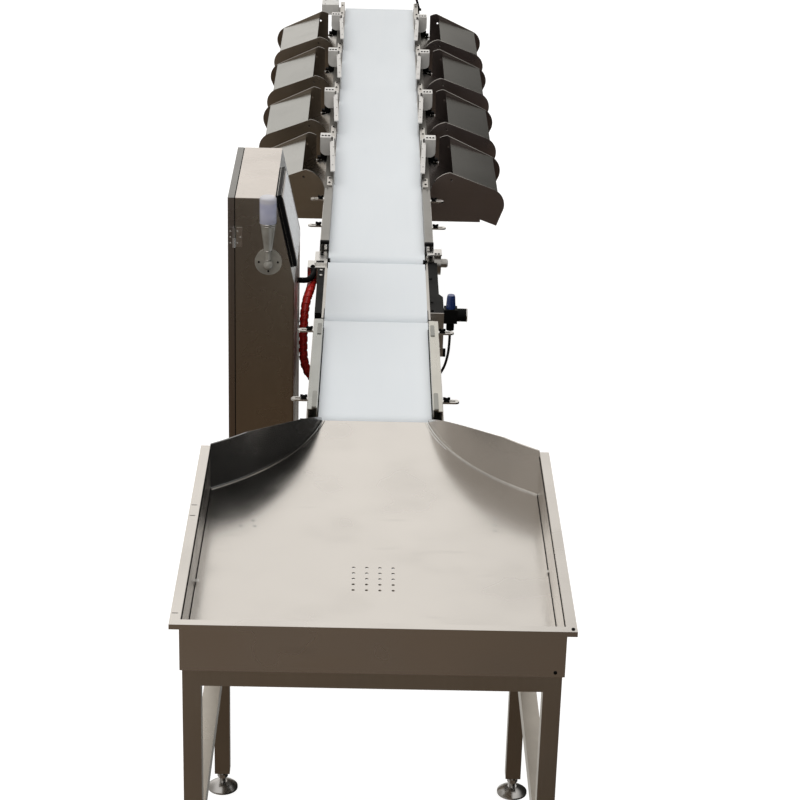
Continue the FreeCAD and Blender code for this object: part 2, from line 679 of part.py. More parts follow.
def flap_actuator(pivot):
    """A round drive under the side frame's top flange, below the flap's pin, with its air ports."""
    high = f"({FRAME_TOP} - frame_web)"
    low = f"({high} - actuator_height)"
    return fused([
        rod("z", "actuator_radius", "actuator_height", PIVOT_X, pivot, low),
        rod("z", "actuator_neck", "actuator_neck_height", PIVOT_X, pivot, f"{low} - actuator_neck_height"),
        block(PIVOT_X, f"{PIVOT_X} + port_reach", f"{pivot} - port_width / 2", f"{pivot} + port_width / 2",
              f"{low} + (actuator_height - port_height) / 2", f"{low} + (actuator_height + port_height) / 2"),
    ])


def edge_strip(start, end):
    """A fixed strip beside the belt between two flaps, folded outward along its top."""
    top = f"({FRAME_TOP} + edge_height)"
    return profile("XZ_Plane", [
        (FRAME_IN, FRAME_TOP),
        (f"{FRAME_IN} + edge_sheet", FRAME_TOP),
        (f"{FRAME_IN} + edge_sheet", f"{top} - edge_sheet"),
        (f"{FRAME_IN} + edge_flange", f"{top} - edge_sheet"),
        (f"{FRAME_IN} + edge_flange", top),
        (FRAME_IN, top),
    ], f"{end} - {start}", y=start)


def sorting_flaps():
    """Eight flaps with their brackets and drives, and the fixed edge strips between them."""
    brackets = []
    actuators = []
    edges = []
    start = f"({SORT} + sort_rail_inset + sort_rail_length + flap_end_gap)"
    for bay in range(4):
        pivot = f"({SORT} + pivot_first + {bay} * bay_pitch)"
        blade = flap(pivot)
        node(f"right_flap_{bay + 1}", [blade])
        node(f"left_flap_{bay + 1}", [mirrored(blade)])
        brackets.append(pivot_bracket(pivot))
        actuators.append(flap_actuator(pivot))
        edges.append(edge_strip(start, f"({pivot} - flap_length - flap_end_gap)"))
        start = f"({pivot} + edge_back)"
    edges.append(edge_strip(start, f"({OVERALL} - edge_end_gap)"))
    node("pivot_brackets", both_sides(brackets))
    node("flap_actuators", both_sides(actuators))
    node("belt_edge_strips", both_sides(edges))


def cabinet():
    """A slim control cabinet beside the weighing belt, with a sloped face for the screen."""
    right = "(0 - cabinet_right)"
    left = "(0 - cabinet_right - cabinet_width)"
    seam = f"({left} + door_sheet)"
    body_left = f"({seam} + door_gap)"
    body = profile("XZ_Plane", [
        (body_left, "cabinet_bottom"),
        (right, "cabinet_bottom"),
        (right, "slope_bottom"),
        (f"{right} - slope_in", "cabinet_top"),
        (body_left, "cabinet_top"),
    ], "cabinet_depth", y=CABINET)
    node("cabinet_body", [body])
    axis_y = f"({CABINET} - hinge_sheet - hinge_sheet)"
    fixed = []
    moving = [block(left, seam, CABINET, f"{CABINET} + cabinet_depth", "cabinet_bottom", "cabinet_top")]
    face = f"({CABINET} - hinge_sheet)"
    for low in ("hinge_low", "hinge_high"):
        half = "(hinge_height / 2)"
        middle = f"({low} + {half})"
        high = f"({low} + hinge_height)"
        fixed.append(fused([
            block(f"{seam} + hinge_notch", f"{seam} + hinge_leaf", face, CABINET, low, high),
            block(seam, f"{seam} + hinge_notch", face, CABINET, low, middle),
            rod("z", "hinge_radius", half, seam, axis_y, low),
            rod("z", "hinge_pin", "hinge_height", seam, axis_y, low),
        ]))
        barrel = rod("z", "hinge_radius", f"{half} - roller_gap", seam, axis_y, f"{middle} + roller_gap")
        bridge = block(f"{seam} - hinge_notch", seam, face, CABINET, f"{middle} + roller_gap", high)
        bore = rod("z", "hinge_pin + pivot_gap", "hinge_height", seam, axis_y, low)
        moving.append(cut(fused([barrel, bridge]), bore))
        moving.append(block(f"{left} + hinge_inset", f"{seam} - hinge_notch", face, CABINET, low, high))
    node("cabinet_hinges", fixed)
    node("cabinet_door", [fused(moving)])
    legs = []
    spots = []
    for low_x in (body_left, f"({right} - leg_tube)"):
        for start in (CABINET, f"({CABINET} + cabinet_depth - leg_tube)"):
            legs.append(block(low_x, f"{low_x} + leg_tube", start, f"{start} + leg_tube",
                              "leg_bottom", "cabinet_bottom"))
            spots.append((f"({low_x} + leg_tube / 2)", f"({start} + leg_tube / 2)"))
    node("cabinet_legs", legs)
    return spots


def screen():
    """A slim operator screen on the cabinet's sloped face."""
    lean = "(slope_in / (cabinet_top - slope_bottom))"
    tilt = f"atan({lean})"

    def slab(width, height, low, thick, inset, drop):
        piece = doc.addObject("Part::Box", "slab")
        piece.setExpression("Length", bound(thick))
        piece.setExpression("Width", bound(width))
        piece.setExpression("Height", bound(height))
        piece.Placement = FreeCAD.Placement(VECTOR(), FreeCAD.Rotation(VECTOR(0, -1, 0), 1))
        piece.setExpression("Placement.Rotation.Angle", bound(tilt))
        top_x = "(0 - cabinet_right - slope_in)"
        along = f"({drop} + {height})"
        x = f"{top_x} + {along} * sin({tilt}) + {low} * cos({tilt})"
        z = f"cabinet_top - {along} * cos({tilt}) + {low} * sin({tilt})"
        return at(piece, x, f"{CABINET} + {inset}", z)

    node("screen_housing", [slab("screen_width", "screen_height", "0", "screen_sheet",
                                 "screen_side", "screen_drop")])
    node("screen_glass", [slab("(screen_width - 2 * screen_border)", "(screen_height - 2 * screen_border)",
                               "(screen_sheet + seat_gap)", "screen_glass", "(screen_side + screen_border)",
                               "(screen_drop + screen_border)")])


def beacon():
    """A signal lamp on a swan neck from the cabinet's front face."""
    x = "(0 - beacon_side)"
    out = f"({CABINET} - beacon_out)"
    high = "(cabinet_top - beacon_drop)"
    node("beacon_mount", [fused([
        rod("y", "beacon_flange", "beacon_plate", x, f"{CABINET} - beacon_plate", high),
        rod("y", "beacon_arm", "beacon_out", x, out, high),
        ball("beacon_ball", x, out, high),
        rod("z", "beacon_stem", "beacon_stem_height", x, out, high),
        taper("beacon_neck", "beacon_lens_radius - beacon_lens_rim",
              "beacon_lens_lift - beacon_stem_height", x, out, f"{high} + beacon_stem_height"),
    ])])
    dome = doc.addObject("Part::Fillet", "dome")
    dome.Base = rod("z", "beacon_lens_radius", "beacon_lens_height", x, out,
                    f"{high} + beacon_lens_lift")
    doc.recompute()
    radius = number("beacon_round")
    heights = [edge.BoundBox.ZMin for edge in dome.Base.Shape.Edges]
    dome.Edges = [(heights.index(max(heights)) + 1, radius, radius)]
    node("beacon_lens", [dome])


def weighing_drive():
    """The drive guard and its plate, the pulley housing, the motor, the hose holder and the air unit."""
    side = f"({FRAME_IN} + weigh_plate)"
    weigh_end = f"({WEIGH} + weigh_length)"
    guard = f"({WEIGH} + guard_start)"
    low = f"({FRAME_TOP} - guard_height)"
    wide = f"({side} + guard_wide)"
    node("drive_guard", [profile("XY_Plane", [
        (side, guard),
        (wide, guard),
        (wide, f"{guard} + guard_shoulder"),
        (f"{side} + guard_width", f"{guard} + guard_shoulder + guard_slope"),
        (f"{side} + guard_width", weigh_end),
        (side, weigh_end),
    ], "guard_height", z=low)])
    strip = f"({wide} - drive_strip)"
    strip_low = f"({low} - drive_strip_drop)"
    node("drive_bracket", [profile("XZ_Plane", [
        (side, FRAME_TOP),
        (side, low),
        (strip, low),
        (strip, strip_low),
        (wide, strip_low),
        (wide, FRAME_TOP),
    ], "drive_plate", y=f"({guard} - drive_plate)")])
    node("drive_knob", [rod("x", "drive_knob", "drive_knob_width", wide, f"({guard} - drive_plate / 2)",
                            f"({strip_low} + drive_knob)")])
    roller_y = f"({SORT} + {LOOP} + bearing_on)"
    roller_z = f"(belt_top - {LOOP} + bearing_lift)"
    node("pulley_housing", [fused([
        rod("x", "bearing_radius", "bearing_width", FRAME_OUT, roller_y, roller_z),
        rod("x", "bearing_hub", "bearing_width + hub_out", FRAME_OUT, roller_y, roller_z),
    ])])
    holder_front = f"({weigh_end} - holder_length)"
    node("weigh_motor", [block(f"0 - {side} - motor_width", f"0 - {side}", f"{WEIGH} + motor_start",
                               holder_front, f"{FRAME_TOP} - motor_height", FRAME_TOP)])
    holder_out = f"(0 - {side} - holder_reach)"
    node("hose_holder", [fused([
        block(holder_out, f"0 - {side}", holder_front, weigh_end, f"{FRAME_TOP} - holder_sheet", FRAME_TOP),
        block(holder_out, f"0 - {side}", holder_front, f"{holder_front} + holder_sheet",
              f"{FRAME_TOP} - holder_drop", FRAME_TOP),
        block(f"0 - {side} - holder_step", f"0 - {FRAME_IN}", f"{holder_front} + holder_step_near",
              f"{SORT} + holder_step_far", FRAME_TOP, f"{FRAME_TOP} + holder_sheet"),
    ])])
    start = f"({WEIGH} + air_start)"
    middle_x = "(air_side + air_body / 2)"
    middle_y = f"({start} + air_body / 2)"
    high = "(air_low + air_height)"
    node("air_regulator", [fused([
        block("air_side", "air_side + air_body", start, f"{start} + air_body", "air_low", high),
        rod("z", "air_bowl", "air_bowl_height", middle_x, middle_y, "air_low - air_bowl_height"),
    ])])
    node("air_knob", [taper("air_knob", "air_knob_top", "air_knob_height", middle_x, middle_y, high)])
    node("air_gauge", [rod("x", "air_gauge", "air_gauge_width", "air_side + air_body", middle_y,
                           "air_low + air_height / 2")])


def far_end():
    """A small drive box and a thin leaning post at the end of the sorting belt."""
    box_top = "(belt_top + end_box_over)"
    node("end_drive_box", [block(f"0 - {FRAME_OUT} - end_box_width", f"0 - {FRAME_OUT}",
                                 f"{OVERALL} - end_box_inset - end_box_length",
                                 f"{OVERALL} - end_box_inset", f"{box_top} - end_box_height", box_top)])
    x = "(belt_width / 2 + post_side)"
    y = f"({OVERALL} - post_inset)"
    stick = doc.addObject("Part::Cylinder", "stick")
    stick.setExpression("Radius", bound("post_radius"))
    stick.setExpression("Height", bound("post_length"))
    stick.Placement = FreeCAD.Placement(VECTOR(), FreeCAD.Rotation(VECTOR(0, -1, 0), 1))
    stick.setExpression("Placement.Rotation.Angle", bound("post_lean"))
    at(stick, x, y, f"{FRAME_TOP} + post_block_height / 2")
    half = "post_block / 2"
    base = block(f"{x} - {half}", f"{x} + {half}", f"{y} - {half}", f"{y} + {half}",
                 FRAME_TOP, f"{FRAME_TOP} + post_block_height")
    node("end_post", [fused([base, stick])])


def tube(label, radius, spots):
    """A hose along straight runs joined by tangent arcs. A spot is (x, station, z)."""
    points = [VECTOR(x, station - number(MIDDLE), z) for x, station, z in spots]
    edges = []
    radii = []
    start = points[0]
    for before, corner, after in zip(points, points[1:], points[2:]):
        back = before - corner
        ahead = after - corner
        reach = RUN_SHARE * min(back.Length, ahead.Length)
        half_turn = (math.pi - back.getAngle(ahead)) / 2
        arc_radius = reach / math.tan(half_turn)
        back.normalize()
        ahead.normalize()
        enter = corner + back * reach
        leave = corner + ahead * reach
        inward = (back + ahead).normalize()
        middle = corner + inward * (math.hypot(arc_radius, reach) - arc_radius)
        edges.append(Part.LineSegment(start, enter).toShape())
        edges.append(Part.Arc(enter, middle, leave).toShape())
        radii.append(round(arc_radius))
        start = leave
    edges.append(Part.LineSegment(start, points[-1]).toShape())
    path = Part.Wire(edges)
    ring = Part.Wire([Part.Circle(points[0], points[1] - points[0], radius).toShape()])
    hose = doc.addObject("Part::Feature", label)
    hose.Shape = path.makePipeShell([ring], True, False)
    expected = path.Length * math.pi * radius ** 2
    print(label, "length", round(path.Length), "radii", radii,
          "volume against section times length", round(hose.Shape.Volume / expected, 4))
    node(label, [hose])


def hoses():
    """The thick spiral-wrapped hose, the rigid conduit to the cabinet and the thin air tube."""
    weigh = number(WEIGH)
    front = weigh + number("weigh_length") - number("holder_length")
    base_low = number(f"{UNDER_BELT} - weigh_base_height")
    top = number(FRAME_TOP)
    tube("red_hose", number("red_hose") / 2, [
        (-204, front, top - 40),
        (-204, front - 66, top - 40),
        (-221, front - 138, top - 66),
        (-226, front - 184, top - 136),
        (-225, front - 202, base_low - 80),
        (-165, front - 206, base_low - 137),
        (-85, front - 208, base_low - 137),
        (-28, front - 210, base_low - 80),
        (-28, front - 210, base_low),
    ])
    tube("conduit_elbow", number("conduit") / 2, [
        (-200, front, top - 13),
        (-200, front - 38, top - 13),
        (-216, front - 72, top - 18),
        (number("0 - cabinet_right"), front - 72, top - 18),
    ])
    bowl_low = number("air_low - air_bowl_height")
    bowl_x = number("air_side + air_body / 2")
    bowl_y = weigh + number("air_start + air_body / 2")
    tube("air_tube", number("air_tube") / 2, [
        (bowl_x, bowl_y, bowl_low),
        (bowl_x, bowl_y, bowl_low - 43),
        (bowl_x - 4, bowl_y + 6, bowl_low - 91),
        (bowl_x - 15, bowl_y + 21, bowl_low - 139),
        (bowl_x - 36, bowl_y + 45, bowl_low - 181),
        (bowl_x - 70, bowl_y + 72, bowl_low - 205),
        (bowl_x - 109, bowl_y + 91, bowl_low - 199),
        (bowl_x - 132, bowl_y + 99, base_low - 35),
        (bowl_x - 132, bowl_y + 99, base_low),
    ])


def build():
    spots = table_frame()
    feed_tray()
    guide_plates()
    conveyors()
    side_frames()
    guide_rails()
    spots += conveyor_stand()
    chutes()
    sorting_flaps()
    cabinet_spots = cabinet()
    screen()
    beacon()
    weighing_drive()
    far_end()
    hoses()
    node("levelling_feet", both_sides([foot(x, y) for x, y in spots])
         + [foot(x, y) for x, y in cabinet_spots])


build()
doc.recompute()

for item in doc.Objects:
    if "Invalid" in item.State or "Error" in item.State:
        raise RuntimeError(f"{item.Name} ({item.Label}) failed: {item.State}")
for part in NODES:
    if part.Shape.isNull() or not part.Shape.isValid():
        raise RuntimeError(f"{part.Label} has no valid shape")

os.makedirs("parts", exist_ok=True)
for part in NODES:
    part.Shape.exportStep(f"parts/{part.Label}.step")
print(len(NODES), "parts")
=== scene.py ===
"""Looks of the weight grading machine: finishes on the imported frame, small fittings, hoses and stage."""
import json
import math

import bmesh
import bpy
from bpy.props import FloatProperty, FloatVectorProperty, PointerProperty
from mathutils import Matrix, Vector


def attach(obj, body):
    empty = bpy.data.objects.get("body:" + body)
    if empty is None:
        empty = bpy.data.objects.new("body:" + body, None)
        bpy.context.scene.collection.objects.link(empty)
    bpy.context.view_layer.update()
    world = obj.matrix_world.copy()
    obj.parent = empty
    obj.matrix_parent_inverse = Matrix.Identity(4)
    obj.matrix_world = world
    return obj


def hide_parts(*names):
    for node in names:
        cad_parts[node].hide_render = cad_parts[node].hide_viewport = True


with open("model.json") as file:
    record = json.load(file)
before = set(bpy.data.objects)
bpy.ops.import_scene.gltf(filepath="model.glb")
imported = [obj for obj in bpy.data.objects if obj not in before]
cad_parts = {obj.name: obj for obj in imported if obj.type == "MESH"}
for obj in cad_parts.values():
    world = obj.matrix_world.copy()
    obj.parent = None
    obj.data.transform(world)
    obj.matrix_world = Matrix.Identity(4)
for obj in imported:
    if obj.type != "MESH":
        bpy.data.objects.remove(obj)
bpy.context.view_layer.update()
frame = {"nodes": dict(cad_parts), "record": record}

bl_info = {
    "name": "Weight grading machine",
    "version": (1, 0, 0),
    "blender": (4, 5, 0),
    "location": "3D View > Sidebar > Grader",
    "description": "Dresses the packed weight grading machine and sets its studio",
    "category": "Object",
}

NODES = frame["nodes"]
BASE = "base"
MM = 0.001

# Heights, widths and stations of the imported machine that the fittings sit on, in millimetres.
# A station is counted along the line from the table's front lip; the frame's origin is at MIDDLE.
MIDDLE = 3070
DECK = 906
RIM_TOP = 1025
FRAME_TOP = 906
ARM_TOP = 911
PIVOTS = (3840, 4474, 5108, 5742)
SHAFTS = (1398.3, 2086.7, 6106.7)
SHAFT_HEIGHT = 876.7
GUIDE_ARC = (828.6, 1474.8)
SHOULDER_ROUND, LIP_ROUND = 82, 59.2
HINGES = (300, 1150)
SCREEN_WIDTH, SCREEN_HEIGHT = 280, 224
BEACON = (-320, 2030)
BEACON_PLATE = (-320, 2054, 1106)
AIR_KNOB = (226, 2200)
AIR_GAUGE = (274, 2200, 897)

# Metres along the line where one bay's chutes end and the next ones start
BAY_EDGES = (0.84, 1.47, 2.1)

# Folds sharper than this, in degrees, stay sharp in the added pieces
SHARP_ANGLE = 35

# The mix node's sockets for colours, and the coordinate node's outputs
MIX_FACTOR, MIX_FIRST, MIX_SECOND, MIX_RESULT = 0, 6, 7, 2
GENERATED, OBJECT = 0, 3

# The studio camera, solved from the photograph: place in metres, angles in degrees
CAMERA_PLACE = (-0.0275, -7.2611, 3.3378)
CAMERA_PITCH, CAMERA_TURN, CAMERA_ROLL = 23.0907, 0.9622, -1.5576


class Val:
    """A shader socket that can be written in sums."""

    def __init__(self, build, socket):
        self.build = build
        self.socket = socket

    def _math(self, operation, other, swap=False):
        first, second = (other, self) if swap else (self, other)
        return self.build.node("ShaderNodeMath", {"operation": operation}, {0: first, 1: second})

    def __add__(self, other):
        return self._math("ADD", other)

    def __radd__(self, other):
        return self._math("ADD", other, True)

    def __sub__(self, other):
        return self._math("SUBTRACT", other)

    def __rsub__(self, other):
        return self._math("SUBTRACT", other, True)

    def __mul__(self, other):
        return self._math("MULTIPLY", other)

    def __rmul__(self, other):
        return self._math("MULTIPLY", other, True)

    def __truediv__(self, other):
        return self._math("DIVIDE", other)


class Build:
    """Adds nodes to one node tree."""

    def __init__(self, tree):
        self.tree = tree
        tree.nodes.clear()

    def node(self, kind, settings=None, inputs=None, out=0):
        item = self.tree.nodes.new(kind)
        for name, value in (settings or {}).items():
            setattr(item, name, value)
        for key, value in (inputs or {}).items():
            if isinstance(value, Val):
                self.tree.links.new(value.socket, item.inputs[key])
            else:
                item.inputs[key].default_value = value
        return Val(self, item.outputs[out]) if item.outputs else item

    def place(self, scale=(1, 1, 1)):
        """Object position, stretched."""
        where = self.node("ShaderNodeTexCoord", out=OBJECT)
        return self.node("ShaderNodeMapping", {}, {"Vector": where, "Scale": scale})

    def parts(self, vector):
        """A vector's x, y and z."""
        item = self.node("ShaderNodeSeparateXYZ", {}, {0: vector}).socket.node
        return [Val(self, item.outputs[i]) for i in range(3)]

    def noise(self, scale, detail=3.0, rough=0.55, stretch=(1, 1, 1)):
        return self.node("ShaderNodeTexNoise", {}, {
            "Vector": self.place(stretch), "Scale": scale, "Detail": detail, "Roughness": rough})

    def band(self, value, low, high, to_low=0.0, to_high=1.0):
        """A smooth step between two values."""
        return self.node("ShaderNodeMapRange", {"interpolation_type": "SMOOTHSTEP"}, {
            "Value": value, "From Min": low, "From Max": high, "To Min": to_low, "To Max": to_high})

    def mix(self, factor, first, second, blend="MIX"):
        """The second colour over the first."""
        item = self.tree.nodes.new("ShaderNodeMix")
        item.data_type = "RGBA"
        item.blend_type = blend
        for index, value in ((MIX_FACTOR, factor), (MIX_FIRST, first), (MIX_SECOND, second)):
            if isinstance(value, Val):
                self.tree.links.new(value.socket, item.inputs[index])
            elif index == MIX_FACTOR:
                item.inputs[index].default_value = value
            else:
                item.inputs[index].default_value = (*value[:3], 1.0)
        return Val(self, item.outputs[MIX_RESULT])

    def bump(self, height, strength, distance):
        return self.node("ShaderNodeBump", {}, {
            "Height": height, "Strength": strength, "Distance": distance})


def finish(name, fixed, varied):
    """A material: fixed values on the shader's sockets and what varies, worked out by a function."""
    material = bpy.data.materials.new(name)
    material.use_nodes = True
    build = Build(material.node_tree)
    values = {key: (*v, 1.0) if isinstance(v, tuple) and len(v) == 3 else v for key, v in fixed.items()}
    values.update(varied(build))
    shader = build.node("ShaderNodeBsdfPrincipled", {}, values)
    build.node("ShaderNodeOutputMaterial", {}, {"Surface": shader})
    colour = fixed.get("Base Color", (0.6, 0.6, 0.6))
    material.diffuse_color = (*colour[:3], 1.0)
    return material


def brushed(name, colour, rough, grain, waves=0.3, wear=0.16, tints=None):
    """Brushed stainless: fine lines along one axis, cloudy handling marks and slight waves.

    The tints are a function that gives pairs: a mask, and the colour that tones the metal down there.
    """
    def varied(b):
        lines = b.noise(65.0, 2.0, 0.5, grain)
        clouds = b.noise(2.4, 3.0, 0.5)
        marks = b.noise(9.0, 2.0, 0.5)
        tone = b.band(clouds, 0.3, 0.7) * 0.75 + b.band(lines, 0.25, 0.75) * 0.25
        base = b.mix(tone, shade(colour, 0.92), shade(colour, 1.04))
        base = b.mix(b.band(marks, 0.45, 0.85) * wear, base, shade(colour, 0.65))
        for mask, tint in tints(b) if tints else ():
            base = b.mix(mask, base, tint, "MULTIPLY")
        return {"Base Color": base,
                "Roughness": b.band(marks * 0.5 + clouds * 0.5, 0.3, 0.7, rough * 0.88, rough * 1.15),
                "Normal": b.bump(lines * 0.02 + clouds * waves, 0.06, 0.002)}
    return finish(name, {"Metallic": 1.0}, varied)


def shade(colour, share):
    """A colour made darker or lighter."""
    return tuple(min(1.0, c * share) for c in colour)


def plastic(name, colour, rough, coat=0.0, fleck=0.12, gloss=0.5):
    """Moulded plastic or paint: slight tone changes and a fine surface grain."""
    def varied(b):
        cloud = b.noise(9.0, 4.0, 0.6)
        grain = b.noise(700.0, 2.0, 0.5)
        base = b.mix(b.band(cloud, 0.3, 0.7), shade(colour, 1 - fleck), shade(colour, 1 + fleck))
        return {"Base Color": base, "Roughness": b.band(cloud, 0.3, 0.75, rough * 0.9, rough * 1.15),
                "Normal": b.bump(grain, 0.08, 0.0004)}
    return finish(name, {"Coat Weight": coat, "Coat Roughness": 0.1,
                         "Specular IOR Level": gloss}, varied)


def belt_finish(name, colour):
    """Smooth white belt with a fine weave underneath and faint scuffs along the flow."""
    def varied(b):
        scuff = b.noise(9.0, 5.0, 0.6, (3.0, 0.3, 1.0))
        cloud = b.noise(1.4, 3.0, 0.5)
        weave = b.node("ShaderNodeTexWave", {"bands_direction": "X"}, {
            "Vector": b.place(), "Scale": 160.0, "Distortion": 0.4})
        base = b.mix(b.band(cloud, 0.3, 0.7), colour, shade(colour, 0.97))
        base = b.mix(b.band(scuff, 0.64, 0.82) * 0.25, base, shade(colour, 0.88))
        return {"Base Color": base, "Roughness": b.band(scuff, 0.35, 0.7, 0.45, 0.6),
                "Normal": b.bump(weave, 0.04, 0.0003)}
    return finish(name, {"Specular IOR Level": 0.3}, varied)


def tray_finish(name, colour):
    """The feeding table's sheet: bright brushed steel with soft dents, scratches and dried stains."""
    def varied(b):
        lines = b.noise(60.0, 2.0, 0.5, (1.0, 0.05, 1.0))
        waves = b.noise(2.1, 2.0, 0.4)
        stains = b.noise(5.5, 2.0, 0.45)
        scratch = b.noise(16.0, 1.0, 0.5, (0.4, 1.4, 1.0))
        base = b.mix(b.band(waves, 0.34, 0.66), shade(colour, 0.965), colour)
        base = b.mix(b.band(stains, 0.5, 0.85) * 0.2, base, shade(colour, 0.7))
        base = b.mix(b.band(scratch, 0.66, 0.9) * 0.25, base, shade(colour, 0.62))
        height = lines * 0.01 + waves * 1.2
        return {"Base Color": base,
                "Roughness": b.band(waves * 0.4 + stains * 0.6, 0.35, 0.65, 0.2, 0.28),
                "Normal": b.bump(height, 0.16, 0.004)}
    return finish(name, {"Metallic": 1.0}, varied)


def lens_finish(name):
    """Milky lavender lamp lens with fine upright ribs, and a painted highlight on its top."""
    def varied(b):
        ribs = b.node("ShaderNodeTexWave", {"bands_direction": "X"}, {
            "Vector": b.place(), "Scale": 90.0, "Distortion": 0.0})
        height = b.parts(b.place())[2]
        cloud = b.noise(30.0, 2.0, 0.5)
        base = b.mix(b.band(cloud, 0.3, 0.7), (0.72, 0.74, 0.93), (0.82, 0.84, 0.99))
        # Painted highlight: the top of the lens is painted near white
        base = b.mix(b.band(height, 1.292, 1.304), base, (0.95, 0.95, 0.99))
        return {"Base Color": base, "Roughness": b.band(cloud, 0.3, 0.7, 0.16, 0.24),
                "Normal": b.bump(ribs, 0.2, 0.0006)}
    return finish(name, {"Transmission Weight": 0.4, "IOR": 1.3}, varied)


def cover_reflection_tints(b):
    """Painted reflections: the left covers are toned darker, and the right ones darker by a different
    amount in each bay, standing in for the dark surroundings they reflect.
    """
    x, y = b.parts(b.place())[:2]
    right = b.band(x, -0.01, 0.01)
    bays = [b.band(y, edge, edge + 0.02) for edge in BAY_EDGES]
    return [
        (1 - right, (0.48, 0.49, 0.485)),
        (right * (1 - bays[0]), (0.72, 0.72, 0.7)),
        ((1 - right) * bays[0] * (1 - bays[2]), (0.82, 0.83, 0.82)),
        (right * bays[0] * (1 - bays[1]), (0.4, 0.4, 0.38)),
        (right * bays[1] * (1 - bays[2]), (0.3, 0.3, 0.28)),
        (right * bays[2], (0.42, 0.42, 0.4)),
    ]


def plate_shade_tints(b):
    """Painted shade: the right plates are toned a little darker than the left ones, and each bay's far
    plate darker, as the shaded inside of the chute.
    """
    x, y = b.parts(b.place())[:2]
    bay = b.node("ShaderNodeMath", {"operation": "FRACT"}, {0: (y - 0.2) / 0.634})
    return [(b.band(x, -0.01, 0.01), (0.8, 0.8, 0.95)),
            (b.band(bay, 0.5, 0.6), (0.55, 0.52, 0.5))]


def guide_reflection_tints(b):
    """Painted dark reflection: the left funnel plate is toned darker than the right one."""
    x = b.parts(b.place())[0]
    return [(b.band(x, 0.01, -0.01), (0.36, 0.38, 0.41))]


def tube_shade_tints(b):
    """Painted shade: the tubes under the machine are toned darker than the table's front legs."""
    y = b.parts(b.place())[1]
    return [(b.band(y, -2.4, -2.2), (0.7, 0.67, 0.63))]


def frame_shade_tints(b):
    """Painted shade: the side frames are toned dark beside the sorting bays."""
    y = b.parts(b.place())[1]
    return [(b.band(y, 0.2, 0.28), (0.22, 0.215, 0.2))]


def rail_shade_tints(b):
    """Painted shade: the left guide rail is toned darker than the right one."""
    x = b.parts(b.place())[0]
    return [(b.band(x, 0.01, -0.01), (0.72, 0.75, 0.78))]


def cabinet_shade_tints(b):
    """Painted shade: the sides are toned darker than the top and darken further towards the floor, the low
    part of the right side darker still. The door's top is toned much darker and its faces a little bluer.
    """
    x, y, z = b.parts(b.place())
    side = b.band(z, 1.299, 1.296)
    door = b.band(x, -0.4185, -0.4195)
    return [(side, (0.47, 0.47, 0.45)),
            (b.band(z, 1.2, 0.5), (1.0, 0.86, 0.7)),
            (b.band(x, -0.25, -0.245) * b.band(z, 1.06, 1.02), (0.62, 0.5, 0.46)),
            (door * b.band(z, 1.296, 1.299), (0.32, 0.34, 0.35)),
            (door * side, (0.86, 0.86, 0.92))]


class GraderLooks(bpy.types.PropertyGroup):
    """Colours and sizes that a user would change"""
    belt_colour: FloatVectorProperty(
        name="Belt colour", description="Colour of the three belts", subtype="COLOR",
        default=(0.775, 0.82, 0.86), min=0.0, max=1.0)
    tray_colour: FloatVectorProperty(
        name="Tray colour", description="Colour of the feeding table's sheet", subtype="COLOR",
        default=(0.83, 0.80, 0.765), min=0.0, max=1.0)
    hose_colour: FloatVectorProperty(
        name="Hose colour", description="Colour of the wrapped hose", subtype="COLOR",
        default=(0.66, 0.025, 0.02), min=0.0, max=1.0)
    knob_colour: FloatVectorProperty(
        name="Knob colour", description="Colour of the air unit's knob", subtype="COLOR",
        default=(0.012, 0.035, 0.16), min=0.0, max=1.0)
    wrap_pitch: FloatProperty(
        name="Wrap pitch", description="How far apart the turns of the hose's wrap lie",
        default=0.024, min=0.012, max=0.06, unit="LENGTH")
    wrap_width: FloatProperty(
        name="Wrap width", description="Width of the band that the hose is wrapped with",
        default=0.015, min=0.004, max=0.05, unit="LENGTH")
    hem_radius: FloatProperty(
        name="Hem", description="Radius of the folded edge on the chutes' side plates",
        default=0.0014, min=0.0005, max=0.004, unit="LENGTH")
    floor_size: FloatProperty(
        name="Floor size", description="Side of the studio floor", default=300.0, unit="LENGTH")
    camera_lens: FloatProperty(
        name="Lens", description="Focal length of the studio camera", default=101.41,
        subtype="DISTANCE_CAMERA")


# Each look's material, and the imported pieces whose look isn't their slot's own
FINISHES = {}
NODE_FINISH = {
    "infeed_guide_rails": "rail_steel",
    "lead_in_guide_rails": "lead_rail_steel",
    "chute_side_plates": "plate_steel",
    "chute_end_panels": "plate_steel",
    "sort_side_frames": "sort_frame_steel",
    "chute_covers": "cover_steel",
    "pulley_housing": "housing_grey",
    "beacon_mount": "beacon_grey",
    "guide_plates": "guide_steel",
}


